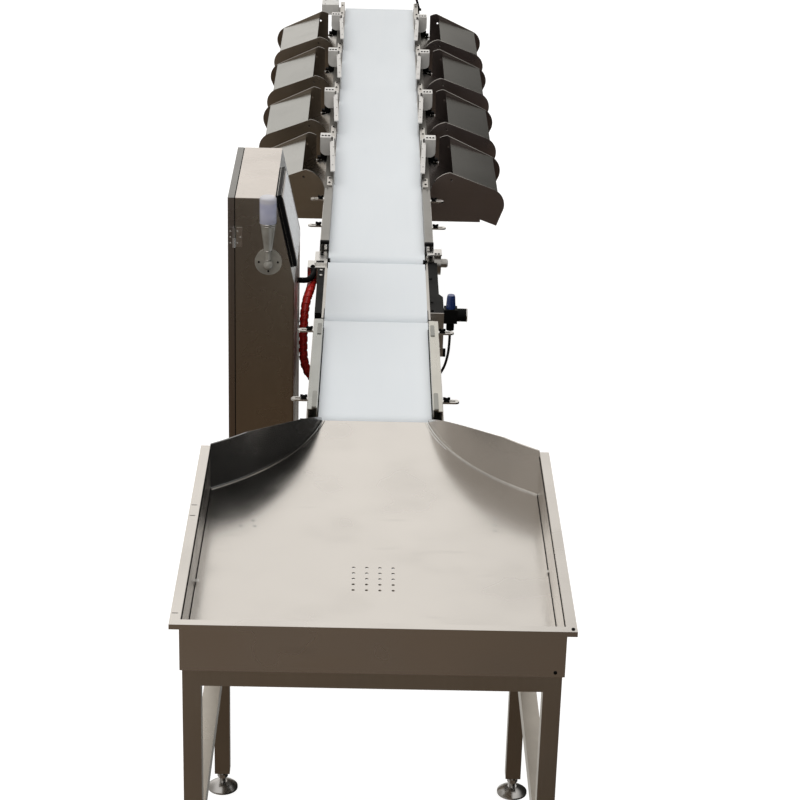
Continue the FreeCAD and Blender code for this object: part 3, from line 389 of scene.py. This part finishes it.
def make_finishes(looks):
    """All materials, before any piece is dressed."""
    across = (0.05, 1.0, 1.0)
    along = (1.0, 0.05, 1.0)
    upright = (1.0, 1.0, 0.05)
    FINISHES.update({
        "tray_steel": tray_finish("tray_steel", tuple(looks.tray_colour)),
        "guide_steel": brushed("guide_steel", (0.82, 0.79, 0.755), 0.2, along, tints=guide_reflection_tints),
        "weld_steel": brushed("weld_steel", (0.98, 0.97, 0.95), 0.14, along),
        "tube_steel": brushed("tube_steel", (0.62, 0.58, 0.52), 0.3, upright, tints=tube_shade_tints),
        "white_belt": belt_finish("white_belt", tuple(looks.belt_colour)),
        "roller_steel": brushed("roller_steel", (0.62, 0.61, 0.6), 0.22, across),
        "frame_steel": brushed("frame_steel", (0.62, 0.6, 0.57), 0.3, along),
        "bright_steel": brushed("bright_steel", (0.8, 0.79, 0.77), 0.26, along),
        "rail_steel": brushed("rail_steel", (0.68, 0.67, 0.62), 0.27, along, tints=rail_shade_tints),
        "lead_rail_steel": brushed("lead_rail_steel", (0.3, 0.295, 0.28), 0.3, along),
        "cast_grey": plastic("cast_grey", (0.68, 0.67, 0.65), 0.4),
        "flap_steel": brushed("flap_steel", (0.74, 0.74, 0.74), 0.28, along),
        "chute_steel": brushed("chute_steel", (0.6, 0.58, 0.55), 0.26, along),
        "cover_steel": brushed("cover_steel", (0.86, 0.85, 0.83), 0.22, along, 0.5, tints=cover_reflection_tints),
        "plate_steel": brushed("plate_steel", (0.42, 0.37, 0.31), 0.3, across, tints=plate_shade_tints),
        "sort_frame_steel": brushed("sort_frame_steel", (0.62, 0.6, 0.57), 0.3, along,
                                    tints=frame_shade_tints),
        "cabinet_steel": brushed("cabinet_steel", (0.8, 0.75, 0.71), 0.28, upright, 0.5,
                                 tints=cabinet_shade_tints),
        "screen_black": plastic("screen_black", (0.008, 0.008, 0.009), 0.4, gloss=0.04),
        "screen_face": plastic("screen_face", (0.57, 0.54, 0.53), 0.16, 0.5, 0.03),
        "lamp_lens": lens_finish("lamp_lens"),
        "black_plastic": plastic("black_plastic", (0.008, 0.008, 0.008), 0.45, gloss=0.04),
        "blue_plastic": plastic("blue_plastic", tuple(looks.knob_colour), 0.25, 0.4),
        "light_paint": plastic("light_paint", (0.7, 0.7, 0.68), 0.4),
        "housing_grey": brushed("housing_grey", (0.5, 0.49, 0.47), 0.34, across),
        "beacon_grey": plastic("beacon_grey", (0.36, 0.35, 0.315), 0.2, 0.6, 0.3),
        "mid_grey": plastic("mid_grey", (0.26, 0.26, 0.24), 0.4),
        "dial_white": plastic("dial_white", (0.75, 0.75, 0.73), 0.3, 0.3, 0.03),
        "red_wrap": plastic("red_wrap", tuple(looks.hose_colour), 0.34, 0.2),
        "black_tube": plastic("black_tube", (0.01, 0.01, 0.011), 0.3),
    })


def dress(thing, slot):
    """Gives a finish to an object."""
    if not thing.data.materials:
        thing.data.materials.append(None)
    for place in thing.material_slots:
        place.link = "OBJECT"
        place.material = FINISHES[slot]


def add_piece(name, mesh_maker, slot, body=BASE, look=None):
    """A new rigid piece from a function that fills a bmesh, in metres."""
    work = bmesh.new()
    mesh_maker(work)
    bmesh.ops.recalc_face_normals(work, faces=work.faces)
    mesh = bpy.data.meshes.new(name)
    work.to_mesh(mesh)
    work.free()
    for polygon in mesh.polygons:
        polygon.use_smooth = True
    mesh.set_sharp_from_angle(angle=math.radians(SHARP_ANGLE))
    piece = bpy.data.objects.new(name, mesh)
    bpy.context.scene.collection.objects.link(piece)
    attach(piece, body)
    dress(piece, look or slot)
    return piece


def spot(x, station, z):
    """A point in metres, from millimetres and a station counted from the table's front lip."""
    return Vector((x, station - MIDDLE, z)) * MM


def turned(work, centre, axis, outline, steps=20):
    """A form turned about an axis, from (radius, height) pairs in millimetres."""
    turn = Vector((0, 0, 1)).rotation_difference(Vector(axis)).to_matrix().to_4x4()
    frame_of = Matrix.Translation(centre) @ turn
    rings = []
    for radius, height in outline:
        count = steps if radius else 1
        rings.append([work.verts.new(frame_of @ Vector((
            radius * MM * math.cos(math.tau * i / count),
            radius * MM * math.sin(math.tau * i / count), height * MM))) for i in range(count)])
    for low, high in zip(rings, rings[1:]):
        for i in range(steps):
            j = (i + 1) % steps
            corners = [low[i % len(low)], low[j % len(low)], high[j % len(high)], high[i % len(high)]]
            kept = [v for k, v in enumerate(corners) if v not in corners[:k]]
            if len(kept) > 2:
                work.faces.new(kept)


def screw(work, centre, axis, radius=3.5):
    """A round-headed screw."""
    turned(work, centre, axis, [(0, -0.6), (radius, -0.6), (radius, radius * 0.3),
                                (radius * 0.82, radius * 0.58), (radius * 0.4, radius * 0.72),
                                (0, radius * 0.76)], 14)


def bolt(work, centre, axis, radius=4.5):
    """A hexagonal head on its washer."""
    turned(work, centre, axis, [(0, -0.6), (radius * 1.45, -0.6), (radius * 1.45, 0.9),
                                (0, 0.9)], 18)
    turned(work, centre, axis, [(0, 0.5), (radius, 0.5), (radius, radius * 0.72),
                                (radius * 0.84, radius * 0.9), (0, radius * 0.9)], 6)


def bar(work, low, high, soft=0.6):
    """A block with softened edges between two corners given as (x, station, z)."""
    first, last = spot(*low), spot(*high)
    made = bmesh.ops.create_cube(work, size=1.0, matrix=Matrix.LocRotScale(
        (first + last) / 2, None, last - first))
    edges = list(dict.fromkeys(edge for vert in made["verts"] for edge in vert.link_edges))
    bmesh.ops.bevel(work, geom=edges, offset=soft * MM, segments=2, profile=0.7, affect="EDGES")


def slab(work, outline, low, high):
    """A flat piece between two heights, from an outline of (x, station) corners."""
    below = [work.verts.new(spot(x, station, low)) for x, station in outline]
    above = [work.verts.new(spot(x, station, high)) for x, station in outline]
    work.faces.new(below[::-1])
    work.faces.new(above)
    for i in range(len(outline)):
        j = (i + 1) % len(outline)
        work.faces.new((below[i], below[j], above[j], above[i]))


def followed(points):
    """Each point with the way ahead there and a steady sideways direction."""
    side = None
    for i, point in enumerate(points):
        ahead = (points[min(i + 1, len(points) - 1)] - points[max(i - 1, 0)]).normalized()
        if side is None:
            side = ahead.orthogonal()
        side = (side - ahead * side.dot(ahead)).normalized()
        yield point, ahead, side


def bead(work, points, radius, sides=8):
    """A round bead along points in metres."""
    rings = []
    for point, ahead, side in followed(points):
        other = ahead.cross(side)
        rings.append([work.verts.new(point + radius * (
            side * math.cos(math.tau * i / sides) + other * math.sin(math.tau * i / sides)))
            for i in range(sides)])
    for low, high in zip(rings, rings[1:]):
        for i in range(sides):
            j = (i + 1) % sides
            work.faces.new((low[i], low[j], high[j], high[i]))
    work.faces.new(rings[0][::-1])
    work.faces.new(rings[-1])


def arc(centre, radius, first, last, steps=24):
    """Points (x, y) on an arc between two angles in radians."""
    angles = [first + (last - first) * i / steps for i in range(steps + 1)]
    return [(centre[0] + radius * math.cos(a), centre[1] + radius * math.sin(a)) for a in angles]


HOSE_ROUTE = (
    (-0.204, -0.496, 0.866), (-0.204, -0.562, 0.866), (-0.221, -0.634, 0.840),
    (-0.226, -0.680, 0.770), (-0.225, -0.698, 0.6394), (-0.165, -0.702, 0.5824),
    (-0.085, -0.704, 0.5824), (-0.028, -0.706, 0.6394), (-0.028, -0.706, 0.7194),
)
AIR_ROUTE = (
    (0.226, -0.870, 0.849), (0.226, -0.870, 0.806), (0.222, -0.864, 0.758),
    (0.211, -0.849, 0.710), (0.190, -0.825, 0.668), (0.156, -0.798, 0.644),
    (0.117, -0.779, 0.650), (0.094, -0.771, 0.6844), (0.094, -0.771, 0.7194),
)


def route_curve(name, route, radius, slot, node):
    """A cord on a smooth spline through its route, in place of its packed tube."""
    curve = bpy.data.curves.new(name, "CURVE")
    curve.dimensions = "3D"
    line = curve.splines.new("NURBS")
    line.points.add(len(route) - 1)
    for point, place in zip(line.points, route):
        point.co = (*place, 1.0)
        point.radius = radius
    line.order_u = 3
    line.use_endpoint_u = True
    curve.resolution_u = 12
    curve.bevel_depth = 1.0
    curve.bevel_resolution = 6
    curve.use_fill_caps = True
    piece = bpy.data.objects.new(name, curve)
    bpy.context.scene.collection.objects.link(piece)
    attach(piece, BASE)
    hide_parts(node)
    dress(piece, slot)
    return piece


def spline_points(piece):
    """Points along a cord's own line."""
    bare = piece.copy()
    bare.data = piece.data.copy()
    bare.data.bevel_depth = 0.0
    mesh = bpy.data.meshes.new_from_object(bare)
    points = [vert.co.copy() for vert in mesh.vertices]
    bpy.data.meshes.remove(mesh)
    bpy.data.objects.remove(bare)
    return points


def wound_band(work, points, radius, thick, wide, pitch):
    """A flat band wound slantwise round a line of points."""
    rings = []
    gone = 0.0
    spots = list(followed(points))
    for (start, ahead, side), (end, ahead_end, side_end) in zip(spots, spots[1:]):
        length = (end - start).length
        steps = max(1, math.ceil(length / pitch * 26))
        for step in range(steps):
            share = step / steps
            way = ahead.lerp(ahead_end, share).normalized()
            across = side.lerp(side_end, share).normalized()
            angle = math.tau * (gone + length * share) / pitch
            out = across * math.cos(angle) + way.cross(across) * math.sin(angle)
            centre = start.lerp(end, share)
            rings.append([work.verts.new(centre + way * shift + out * (radius + height))
                          for shift, height in ((-wide / 2, 0), (-wide * 0.42, thick),
                                                (wide * 0.42, thick), (wide / 2, 0))])
        gone += length
    for low, high in zip(rings, rings[1:]):
        for i in range(4):
            j = (i + 1) % 4
            work.faces.new((low[i], low[j], high[j], high[i]))
    work.faces.new(rings[0][::-1])
    work.faces.new(rings[-1])


class OBJECT_OT_grader_hoses(bpy.types.Operator):
    """Lays the wrapped hose and the air tube on their routes"""
    bl_idname = "object.grader_hoses"
    bl_label = "Hoses"

    def execute(self, context):
        looks = context.scene.grader
        hose = route_curve("wrapped_hose", HOSE_ROUTE, 0.0125, "red_wrap", "red_hose")
        line = spline_points(hose)
        band = add_piece("hose_wrap", lambda work: wound_band(
            work, line[1:-1], 0.0119, 0.0022, looks.wrap_width, looks.wrap_pitch), "red_wrap")
        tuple(HOSE_ROUTE[0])
        tube = route_curve("thin_air_tube", AIR_ROUTE, 0.004, "black_tube", "air_tube")
        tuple(AIR_ROUTE[0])
        return {"FINISHED"}


class OBJECT_OT_grader_table(bpy.types.Operator):
    """Adds the feeding table's weld beads, dark beads painted as shade lines along its side walls, clips
    and screws
    """
    bl_idname = "object.grader_table"
    bl_label = "Feeding table"

    def execute(self, context):
        add_piece("guide_welds", self.welds, "tray_steel", look="weld_steel")
        add_piece("tray_shade_lines", self.shade_lines, "black_plastic")
        add_piece("tray_clips", self.clips, "bright_steel")
        add_piece("tray_screws", self.screws, "black_plastic")
        add_piece("weld_dimples", self.dimples, "bright_steel")
        return {"FINISHED"}

    @staticmethod
    def welds(work):
        """A weld along the foot of each funnel plate, and a thinner one behind its near half."""
        for sign in (-1, 1):
            foot = arc(GUIDE_ARC, 696.6, -2.2172, -2.9740, 48)
            bead(work, [spot(sign * x, station, DECK + 0.9) for x, station in foot], 0.0017)
            near = arc(GUIDE_ARC, 703.0, -2.72, -2.9740, 24)
            bead(work, [spot(sign * x, station, DECK + 0.2) for x, station in near], 0.0011)

    @staticmethod
    def shade_lines(work):
        # Dark beads painted as shade lines along the foot of each side wall and under the rim's inner edge
        for sign in (-1, 1):
            for z in (DECK + 0.6, 1012.6):
                bead(work, [spot(sign * 409.4, 24, z), spot(sign * 409.4, 917, z)], 0.0012)

    @staticmethod
    def clips(work):
        bar(work, (-409.9, 408, 906), (-401, 422, 913))
        bar(work, (404.5, 492, 906), (409.9, 504, 911))

    @staticmethod
    def screws(work):
        screw(work, spot(424, 12, RIM_TOP), (0, 0, 1), 4.0)
        screw(work, spot(392, 20, 914), (0, -1, 0), 4.0)
        for station in (51, 524, 580):
            bar(work, (-430, station - 0.8, RIM_TOP - 0.4), (-417, station + 0.8, RIM_TOP + 0.4), 0.2)

    @staticmethod
    def dimples(work):
        for x, station in ((-296, 783), (-294, 745), (-289, 715), (-322, 715),
                           (297, 780), (295, 745), (294, 715)):
            turned(work, spot(x, station, DECK), (0, 0, 1), [
                (0, -0.4), (5.0, -0.4), (4.6, 0.5), (3.4, 0.75), (2.2, 0.45), (0, 0.3)], 16)


class OBJECT_OT_grader_rails(bpy.types.Operator):
    """Adds the guide rails' end tongues, dark strips painted as shade in the gaps beside the belt, an end
    block, caps and wing bolts
    """
    bl_idname = "object.grader_rails"
    bl_label = "Guide rails"

    def execute(self, context):
        add_piece("rail_tongues", self.tongues, "cast_grey", look="mid_grey")
        add_piece("rail_gap_shade_and_end_block", self.gap_shade_and_end_block, "black_plastic")
        add_piece("arm_wing_bolts", self.wings, "black_plastic")
        add_piece("rail_caps", self.caps, "black_plastic")
        add_piece("cap_strips", self.strips, "bright_steel")
        return {"FINISHED"}

    @staticmethod
    def tongues(work):
        for sign in (-1, 1):
            for start, end in ((1368, 1478), (1908, 1990)):
                head = arc((165, end - 6), 6, 0, math.pi, 8)
                outline = [(sign * x, station) for x, station in [(159, start), (171, start)] + head]
                slab(work, outline, 940.8, 943.4)

    @staticmethod
    def gap_shade_and_end_block(work):
        # Dark strips painted as the shade in the narrow gaps between the belt and the guide rails; then a
        # dark end block and its bolts
        for sign in (-1, 1):
            low, high = sorted((sign * 153.2, sign * 156.2))
            bar(work, (low, 1367, 910.4), (high, 2030, 913.6), 0.5)
        bar(work, (-202, 1356.4, 903), (-160, 1361.2, 911), 0.8)
        for x in (149, 160):
            bolt(work, spot(x, 1357.8, 911), (0, -1, 0), 4.0)

    @staticmethod
    def wings(work):
        for sign in (-1, 1):
            for station in (1500, 2018, 2982, 3268):
                x = sign * 196
                turned(work, spot(x, station, ARM_TOP), (0, 0, 1), [
                    (0, -0.4), (8, -0.4), (8, 1.6), (5, 2.0), (5, 7), (3.5, 8.6), (0, 9)], 16)
                for way in (-1, 1):
                    low, high = sorted((x + way * 3, x + way * 10))
                    bar(work, (low, station - 1.6, 914), (high, station + 1.6, 922), 1.0)

    @staticmethod
    def caps(work):
        for sign in (-1, 1):
            low, high = sorted((sign * 154.5, sign * 184))
            bar(work, (low, 2716, 934), (high, 2731, 945), 2.4)
            for x in (156.2, 181):
                low, high = sorted((sign * x, sign * (x + 3)))
                bar(work, (low, 2716, 911), (high, 2722, 936), 0.8)
            low, high = sorted((sign * 149, sign * 163))
            bar(work, (low, 2641.6, 868), (high, 2648.4, 912), 1.0)

    @staticmethod
    def strips(work):
        for sign in (-1, 1):
            low, high = sorted((sign * 161, sign * 171))
            bar(work, (low, 2719.4, 912), (high, 2721.8, 934), 0.5)


class OBJECT_OT_grader_bays(bpy.types.Operator):
    """Adds the sorting bays' bolts and the chutes' folded edges"""
    bl_idname = "object.grader_bays"
    bl_label = "Sorting bays"

    def execute(self, context):
        looks = context.scene.grader
        add_piece("bracket_bolts", self.bracket_bolts, "black_plastic")
        add_piece("drive_screws", self.drive_screws, "bright_steel")
        add_piece("strip_bolts", self.strip_bolts, "black_plastic")
        add_piece("chute_hems", lambda work: self.hems(work, looks.hem_radius), "chute_steel")
        for sign, side in ((-1, "left"), (1, "right")):
            for bay, pivot in enumerate(PIVOTS):
                add_piece(f"{side}_flap_rivets_{bay + 1}", self.rivets(sign, pivot),
                          "flap_steel", f"{side}_flap_{bay + 1}")
        return {"FINISHED"}

    @staticmethod
    def bracket_bolts(work):
        for sign in (-1, 1):
            for pivot in PIVOTS:
                for x in (180.5, 192, 203.5):
                    bolt(work, spot(sign * x, pivot - 24, 974), (0, 0, 1), 3.2)

    @staticmethod
    def drive_screws(work):
        for sign in (-1, 1):
            for pivot in PIVOTS:
                for x in (209, 218):
                    for z in (866, 878):
                        screw(work, spot(sign * x, pivot - 11, z), (0, -1, 0), 2.6)
                turned(work, spot(sign * 223, pivot, 872), (sign, 0, 0), [
                    (0, -0.5), (5, -0.5), (5, 5), (3.4, 5.6), (3.4, 9), (0, 9)], 12)

    @staticmethod
    def strip_bolts(work):
        for sign in (-1, 1):
            for station in (3341, 3392, 3961, 4030, 4595, 4664, 5229, 5298, 5863, 6010):
                bolt(work, spot(sign * 168, station, 946), (0, 0, 1), 3.0)

    @staticmethod
    def rivets(sign, pivot):
        def fill(work):
            for share in (0.2, 0.5, 0.8):
                screw(work, spot(sign * (155 + 4.6 + 2.4 * share), pivot - 425 + 365 * share, 965),
                      (0, 0, 1), 2.4)
        return fill

    @staticmethod
    def hems(work, radius):
        """The rounded edge of each chute's near and far plate, from the shoulder to the lip."""
        near = arc((267.9, 890.9), SHOULDER_ROUND, math.radians(177.8), math.radians(99.8), 14)
        near += arc((388.8, 857.2), LIP_ROUND, math.radians(69.5), math.radians(-20.5), 12)
        far = arc((267.05, 906.4), SHOULDER_ROUND, math.radians(118.5), math.radians(99.2), 5)
        far += arc((392.1, 857.6), LIP_ROUND, math.radians(65.0), math.radians(-25.0), 12)
        for sign in (-1, 1):
            for pivot in PIVOTS:
                for line, station in ((near, pivot - 438.5), (far, pivot - 31.5)):
                    bead(work, [spot(sign * x, station, z) for x, z in line], radius, 6)


class OBJECT_OT_grader_cabinet(bpy.types.Operator):
    """Adds the cabinet's hinge screws and door seal, the screen's frame and the beacon's rings"""
    bl_idname = "object.grader_cabinet"
    bl_label = "Cabinet"

    def execute(self, context):
        add_piece("hinge_screws", self.hinge_screws(-411, -402), "bright_steel")
        add_piece("door_hinge_screws", self.hinge_screws(-431, -431), "bright_steel", "cabinet_door")
        add_piece("door_seal", self.seal, "black_plastic", "cabinet_door")
        add_piece("screen_frame", self.screen_frame, "bright_steel")
        add_piece("beacon_rings", self.rings, "bright_steel")
        add_piece("beacon_screws", self.beacon_screws, "black_plastic")
        return {"FINISHED"}

    @staticmethod
    def hinge_screws(first, second):
        def fill(work):
            for low in HINGES:
                for x, z in ((first, low + 12), (second, low + 30), (first, low + 48)):
                    screw(work, spot(x, 2057, z), (0, -1, 0), 3.0)
        return fill

    @staticmethod
    def seal(work):
        for near, far, low, high in ((2061, 2064, 151, 1299.4), (2561.5, 2564.5, 151, 1299.4),
                                     (2064, 2561.5, 1296, 1299.4), (2064, 2561.5, 151, 154)):
            bar(work, (-420.2, near, low), (-417.4, far, high), 0.5)

    @staticmethod
    def screen_frame(work):
        lean = math.atan(57 / 260)
        drop = SCREEN_HEIGHT + 2
        foot = spot(-301 + drop * math.sin(lean), 2090, 1300 - drop * math.cos(lean))
        rise = Vector((-math.sin(lean), 0, math.cos(lean))) * MM
        out = Vector((math.cos(lean), 0, math.sin(lean))) * MM
        along = Vector((0, 1, 0)) * MM
        for inset, height, radius in ((11, 16.2, 0.0012), (-0.4, 5.0, 0.0009), (1.0, 15.6, 0.0008)):
            wide, tall = SCREEN_WIDTH - inset, SCREEN_HEIGHT - inset
            corners = ((inset, inset), (wide, inset), (wide, tall), (inset, tall))
            for (u, v), (p, q) in zip(corners, corners[1:] + corners[:1]):
                bead(work, [foot + along * u + rise * v + out * height,
                            foot + along * p + rise * q + out * height], radius, 6)

    @staticmethod
    def rings(work):
        for z, radius, tube in ((1235.5, 24.6, 1.4), (1228.5, 22.0, 1.0), (1151, 12.2, 1.2),
                                (1122, 9.4, 0.9)):
            turned(work, spot(*BEACON, z), (0, 0, 1), [
                (radius - tube, -tube), (radius + tube * 0.5, -tube), (radius + tube, 0),
                (radius + tube * 0.5, tube), (radius - tube, tube), (radius - tube, -tube)], 32)

    @staticmethod
    def beacon_screws(work):
        x, station, z = BEACON_PLATE
        for right, up in ((-28, 0), (28, 0), (0, -28), (0, 28)):
            screw(work, spot(x + right, station, z + up), (0, -1, 0), 3.2)


class OBJECT_OT_grader_drives(bpy.types.Operator):
    """Adds the fittings of the weighing drive, the hose holder and the air unit"""
    bl_idname = "object.grader_drives"
    bl_label = "Drives and air unit"

    def execute(self, context):
        add_piece("drive_bolts_and_slot_shade", self.dark_bolts_and_slot_shade, "black_plastic")
        add_piece("drive_bright_bolts", self.bright_bolts, "bright_steel")
        add_piece("bearing_plate", self.bearing_plate, "bright_steel")
        add_piece("shaft_nuts", self.shaft_nuts, "roller_steel")
        add_piece("hub_cap", self.hub_cap, "cast_grey")
        add_piece("gauge_bezel", self.gauge_bezel, "bright_steel")
        add_piece("gauge_dial", self.gauge_dial, "screen_face", look="dial_white")
        add_piece("gauge_ticks", self.gauge_ticks, "black_plastic")
        add_piece("knob_ribs", self.knob_ribs, "blue_plastic")
        return {"FINISHED"}

    @staticmethod
    def dark_bolts_and_slot_shade(work):
        # A dark sheet painted as the shade inside the slot in the hose holder's top
        bar(work, (-193, 2605, 911.6), (-168, 2621, 912.8), 0.4)
        bolt(work, spot(-203, 2582, FRAME_TOP), (0, 0, 1), 5.5)
        for x, station in ((-176, 2681), (-176, 2698)):
            bolt(work, spot(x, station, 912), (0, 0, 1), 3.0)
        for station in (2634, 2488, 2278, 2206):
            bolt(work, spot(171, station, FRAME_TOP), (0, 0, 1), 3.6)
        for x, station in ((190, 2668), (200, 2668)):
            bolt(work, spot(x, station, 926.5), (0, 0, 1), 3.0)

    @staticmethod
    def bright_bolts(work):
        for station in (2545, 2497):
            screw(work, spot(-175, station, FRAME_TOP), (0, 0, 1), 6.0)
        for x, z in ((198, 838), (198, 790)):
            screw(work, spot(x, 2186, z), (0, -1, 0), 3.0)
        for x, station in ((-248, 6044), (-196, 6044), (-248, 6116), (-196, 6116)):
            screw(work, spot(x, station, 943), (0, 0, 1), 3.4)

    @staticmethod
    def bearing_plate(work):
        bar(work, (163, 2659, 922.6), (210, 2716, 926.5), 0.8)
        bar(work, (163, 2659, 906), (167, 2716, 924), 0.8)

    @staticmethod
    def shaft_nuts(work):
        for sign in (-1, 1):
            for station in SHAFTS:
                turned(work, spot(sign * 162, station, SHAFT_HEIGHT), (sign, 0, 0), [
                    (0, -0.5), (12, -0.5), (12, 7), (10.4, 8.4), (6, 8.4), (6, 14), (0, 14)], 6)

    @staticmethod
    def hub_cap(work):
        turned(work, spot(227, 2699.3, 884.7), (1, 0, 0), [
            (0, -0.5), (12.5, -0.5), (12.5, 2.2), (10, 3.6), (5, 4.2), (0, 4.2)], 24)

    @staticmethod
    def gauge_bezel(work):
        turned(work, spot(*AIR_GAUGE), (1, 0, 0), [
            (16.8, -0.4), (20.6, -0.4), (20.6, 1.6), (19.4, 2.8), (17.4, 2.6), (16.8, -0.4)], 36)

    @staticmethod
    def gauge_dial(work):
        turned(work, spot(*AIR_GAUGE), (1, 0, 0), [
            (0, -0.3), (17.2, -0.3), (17.2, 0.6), (0, 0.6)], 36)

    @staticmethod
    def gauge_ticks(work):
        centre = spot(*AIR_GAUGE) + Vector((0.8, 0, 0)) * MM
        for step in range(11):
            angle = math.radians(-45 + 27 * step)
            way = Vector((0, math.cos(angle), math.sin(angle)))
            bead(work, [centre + way * 0.0125, centre + way * 0.0155], 0.0004, 5)
        needle = Vector((0, -math.cos(0.9), math.sin(0.9)))
        bead(work, [centre - needle * 0.003, centre + needle * 0.011], 0.0006, 5)

    @staticmethod
    def knob_ribs(work):
        for step in range(16):
            angle = math.tau * step / 16
            way = Vector((math.cos(angle), math.sin(angle), 0))
            centre = spot(*AIR_KNOB, 0)
            bead(work, [centre + way * 0.0137 + Vector((0, 0, 0.922)),
                        centre + way * 0.0113 + Vector((0, 0, 0.957))], 0.0011, 6)


class OBJECT_OT_grader_finishes(bpy.types.Operator):
    """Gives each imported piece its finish"""
    bl_idname = "object.grader_finishes"
    bl_label = "Finishes"

    def execute(self, context):
        make_finishes(context.scene.grader)
        for part in frame["record"]["subparts"]:
            node = part["node"]
            dress(NODES[node], NODE_FINISH.get(node, part["material_slot"]))
        return {"FINISHED"}


class OBJECT_OT_grader_stage(bpy.types.Operator):
    """Sets the floor, the lights and the camera"""
    bl_idname = "object.grader_stage"
    bl_label = "Stage"

    def execute(self, context):
        looks = context.scene.grader
        self.floor(looks.floor_size)
        self.light()
        self.surroundings(context.scene)
        self.camera(context.scene, looks.camera_lens)
        context.scene.view_settings.view_transform = "Standard"
        return {"FINISHED"}

    @staticmethod
    def floor(size):
        half = size / 2
        mesh = bpy.data.meshes.new("studio_floor")
        mesh.from_pydata([(-half, -half, 0), (half, -half, 0), (half, half, 0), (-half, half, 0)],
                         [], [(0, 1, 2, 3)])
        floor = bpy.data.objects.new("studio_floor", mesh)
        bpy.context.scene.collection.objects.link(floor)
        floor.data.materials.append(finish(
            "studio_floor", {"Base Color": (0.5, 0.5, 0.5), "Roughness": 0.9,
                             "Specular IOR Level": 0.0, "Emission Color": (1.0, 1.0, 1.0),
                             "Emission Strength": 0.8}, lambda b: {}))
        floor.visible_glossy = False
        floor.visible_diffuse = False

    @staticmethod
    def light():
        lamp = bpy.data.lights.new("top_light", "AREA")
        lamp.shape = "SQUARE"
        lamp.size = 14.0
        lamp.energy = 450.0
        lamp.color = (1.0, 0.99, 0.98)
        holder = bpy.data.objects.new("top_light", lamp)
        holder.location = (0.0, 0.0, 7.0)
        holder.visible_glossy = False
        bpy.context.scene.collection.objects.link(holder)

    @staticmethod
    def surroundings(scene):
        # A bright sky over a dim floor, with something dark to the right and dull to the left
        world = bpy.data.worlds.new("studio")
        scene.world = world
        world.use_nodes = True
        b = Build(world.node_tree)
        across, along, up = b.parts(b.node("ShaderNodeTexCoord", out=GENERATED))
        sky = b.mix(b.band(up, 0.15, 0.8), (0.95, 0.915, 0.865), (0.78, 0.76, 0.73))
        below = b.mix(b.band(along, -0.1, 0.7), (0.12, 0.09, 0.066), (0.55, 0.54, 0.51))
        colour = b.mix(b.band(up, -0.12, 0.12), below, sky)
        right = b.band(across, 0.06, 0.26) * b.band(up, 0.95, 0.6)
        left = b.band(across, -0.3, -0.75) * b.band(up, 0.95, 0.6)
        colour = b.mix(right, colour, (0.02, 0.019, 0.017))
        colour = b.mix(left, colour, (0.33, 0.31, 0.285))
        background = b.node("ShaderNodeBackground", {}, {"Color": colour, "Strength": 1.0})
        b.node("ShaderNodeOutputWorld", {}, {"Surface": background})

    @staticmethod
    def camera(scene, lens):
        pitch, turn, roll = (math.radians(a) for a in (CAMERA_PITCH, CAMERA_TURN, CAMERA_ROLL))
        ahead = Vector((math.sin(turn) * math.cos(pitch), math.cos(turn) * math.cos(pitch),
                        -math.sin(pitch)))
        level = Vector((math.cos(turn), -math.sin(turn), 0.0))
        down = ahead.cross(level)
        right = level * math.cos(roll) + down * math.sin(roll)
        below = down * math.cos(roll) - level * math.sin(roll)
        data = bpy.data.cameras.new("studio_camera")
        data.lens = lens
        data.sensor_width = 36.0
        data.clip_end = 200.0
        camera = bpy.data.objects.new("studio_camera", data)
        scene.collection.objects.link(camera)
        camera.matrix_world = Matrix.LocRotScale(
            Vector(CAMERA_PLACE),
            Matrix((right, -below, -ahead)).transposed().to_quaternion(), None)
        scene.camera = camera


class VIEW3D_PT_grader(bpy.types.Panel):
    """The machine's pieces"""
    bl_idname = "VIEW3D_PT_grader"
    bl_label = "Weight grading machine"
    bl_space_type = "VIEW_3D"
    bl_region_type = "UI"
    bl_category = "Grader"

    def draw(self, context):
        looks = context.scene.grader
        for name in looks.bl_rna.properties.keys():
            if name in GraderLooks.__annotations__:
                self.layout.prop(looks, name)
        for operator in OPERATORS:
            self.layout.operator(operator.bl_idname)


OPERATORS = (
    OBJECT_OT_grader_finishes, OBJECT_OT_grader_stage, OBJECT_OT_grader_hoses,
    OBJECT_OT_grader_table, OBJECT_OT_grader_rails, OBJECT_OT_grader_bays,
    OBJECT_OT_grader_cabinet, OBJECT_OT_grader_drives,
)
CLASSES = (GraderLooks,) + OPERATORS + (VIEW3D_PT_grader,)


def register():
    for item in CLASSES:
        bpy.utils.register_class(item)
    bpy.types.Scene.grader = PointerProperty(type=GraderLooks)


def unregister():
    del bpy.types.Scene.grader
    for item in reversed(CLASSES):
        bpy.utils.unregister_class(item)


def main():
    register()
    for operator in OPERATORS:
        group, name = operator.bl_idname.split(".")
        getattr(getattr(bpy.ops, group), name)()


if __name__ == "__main__":
    main()
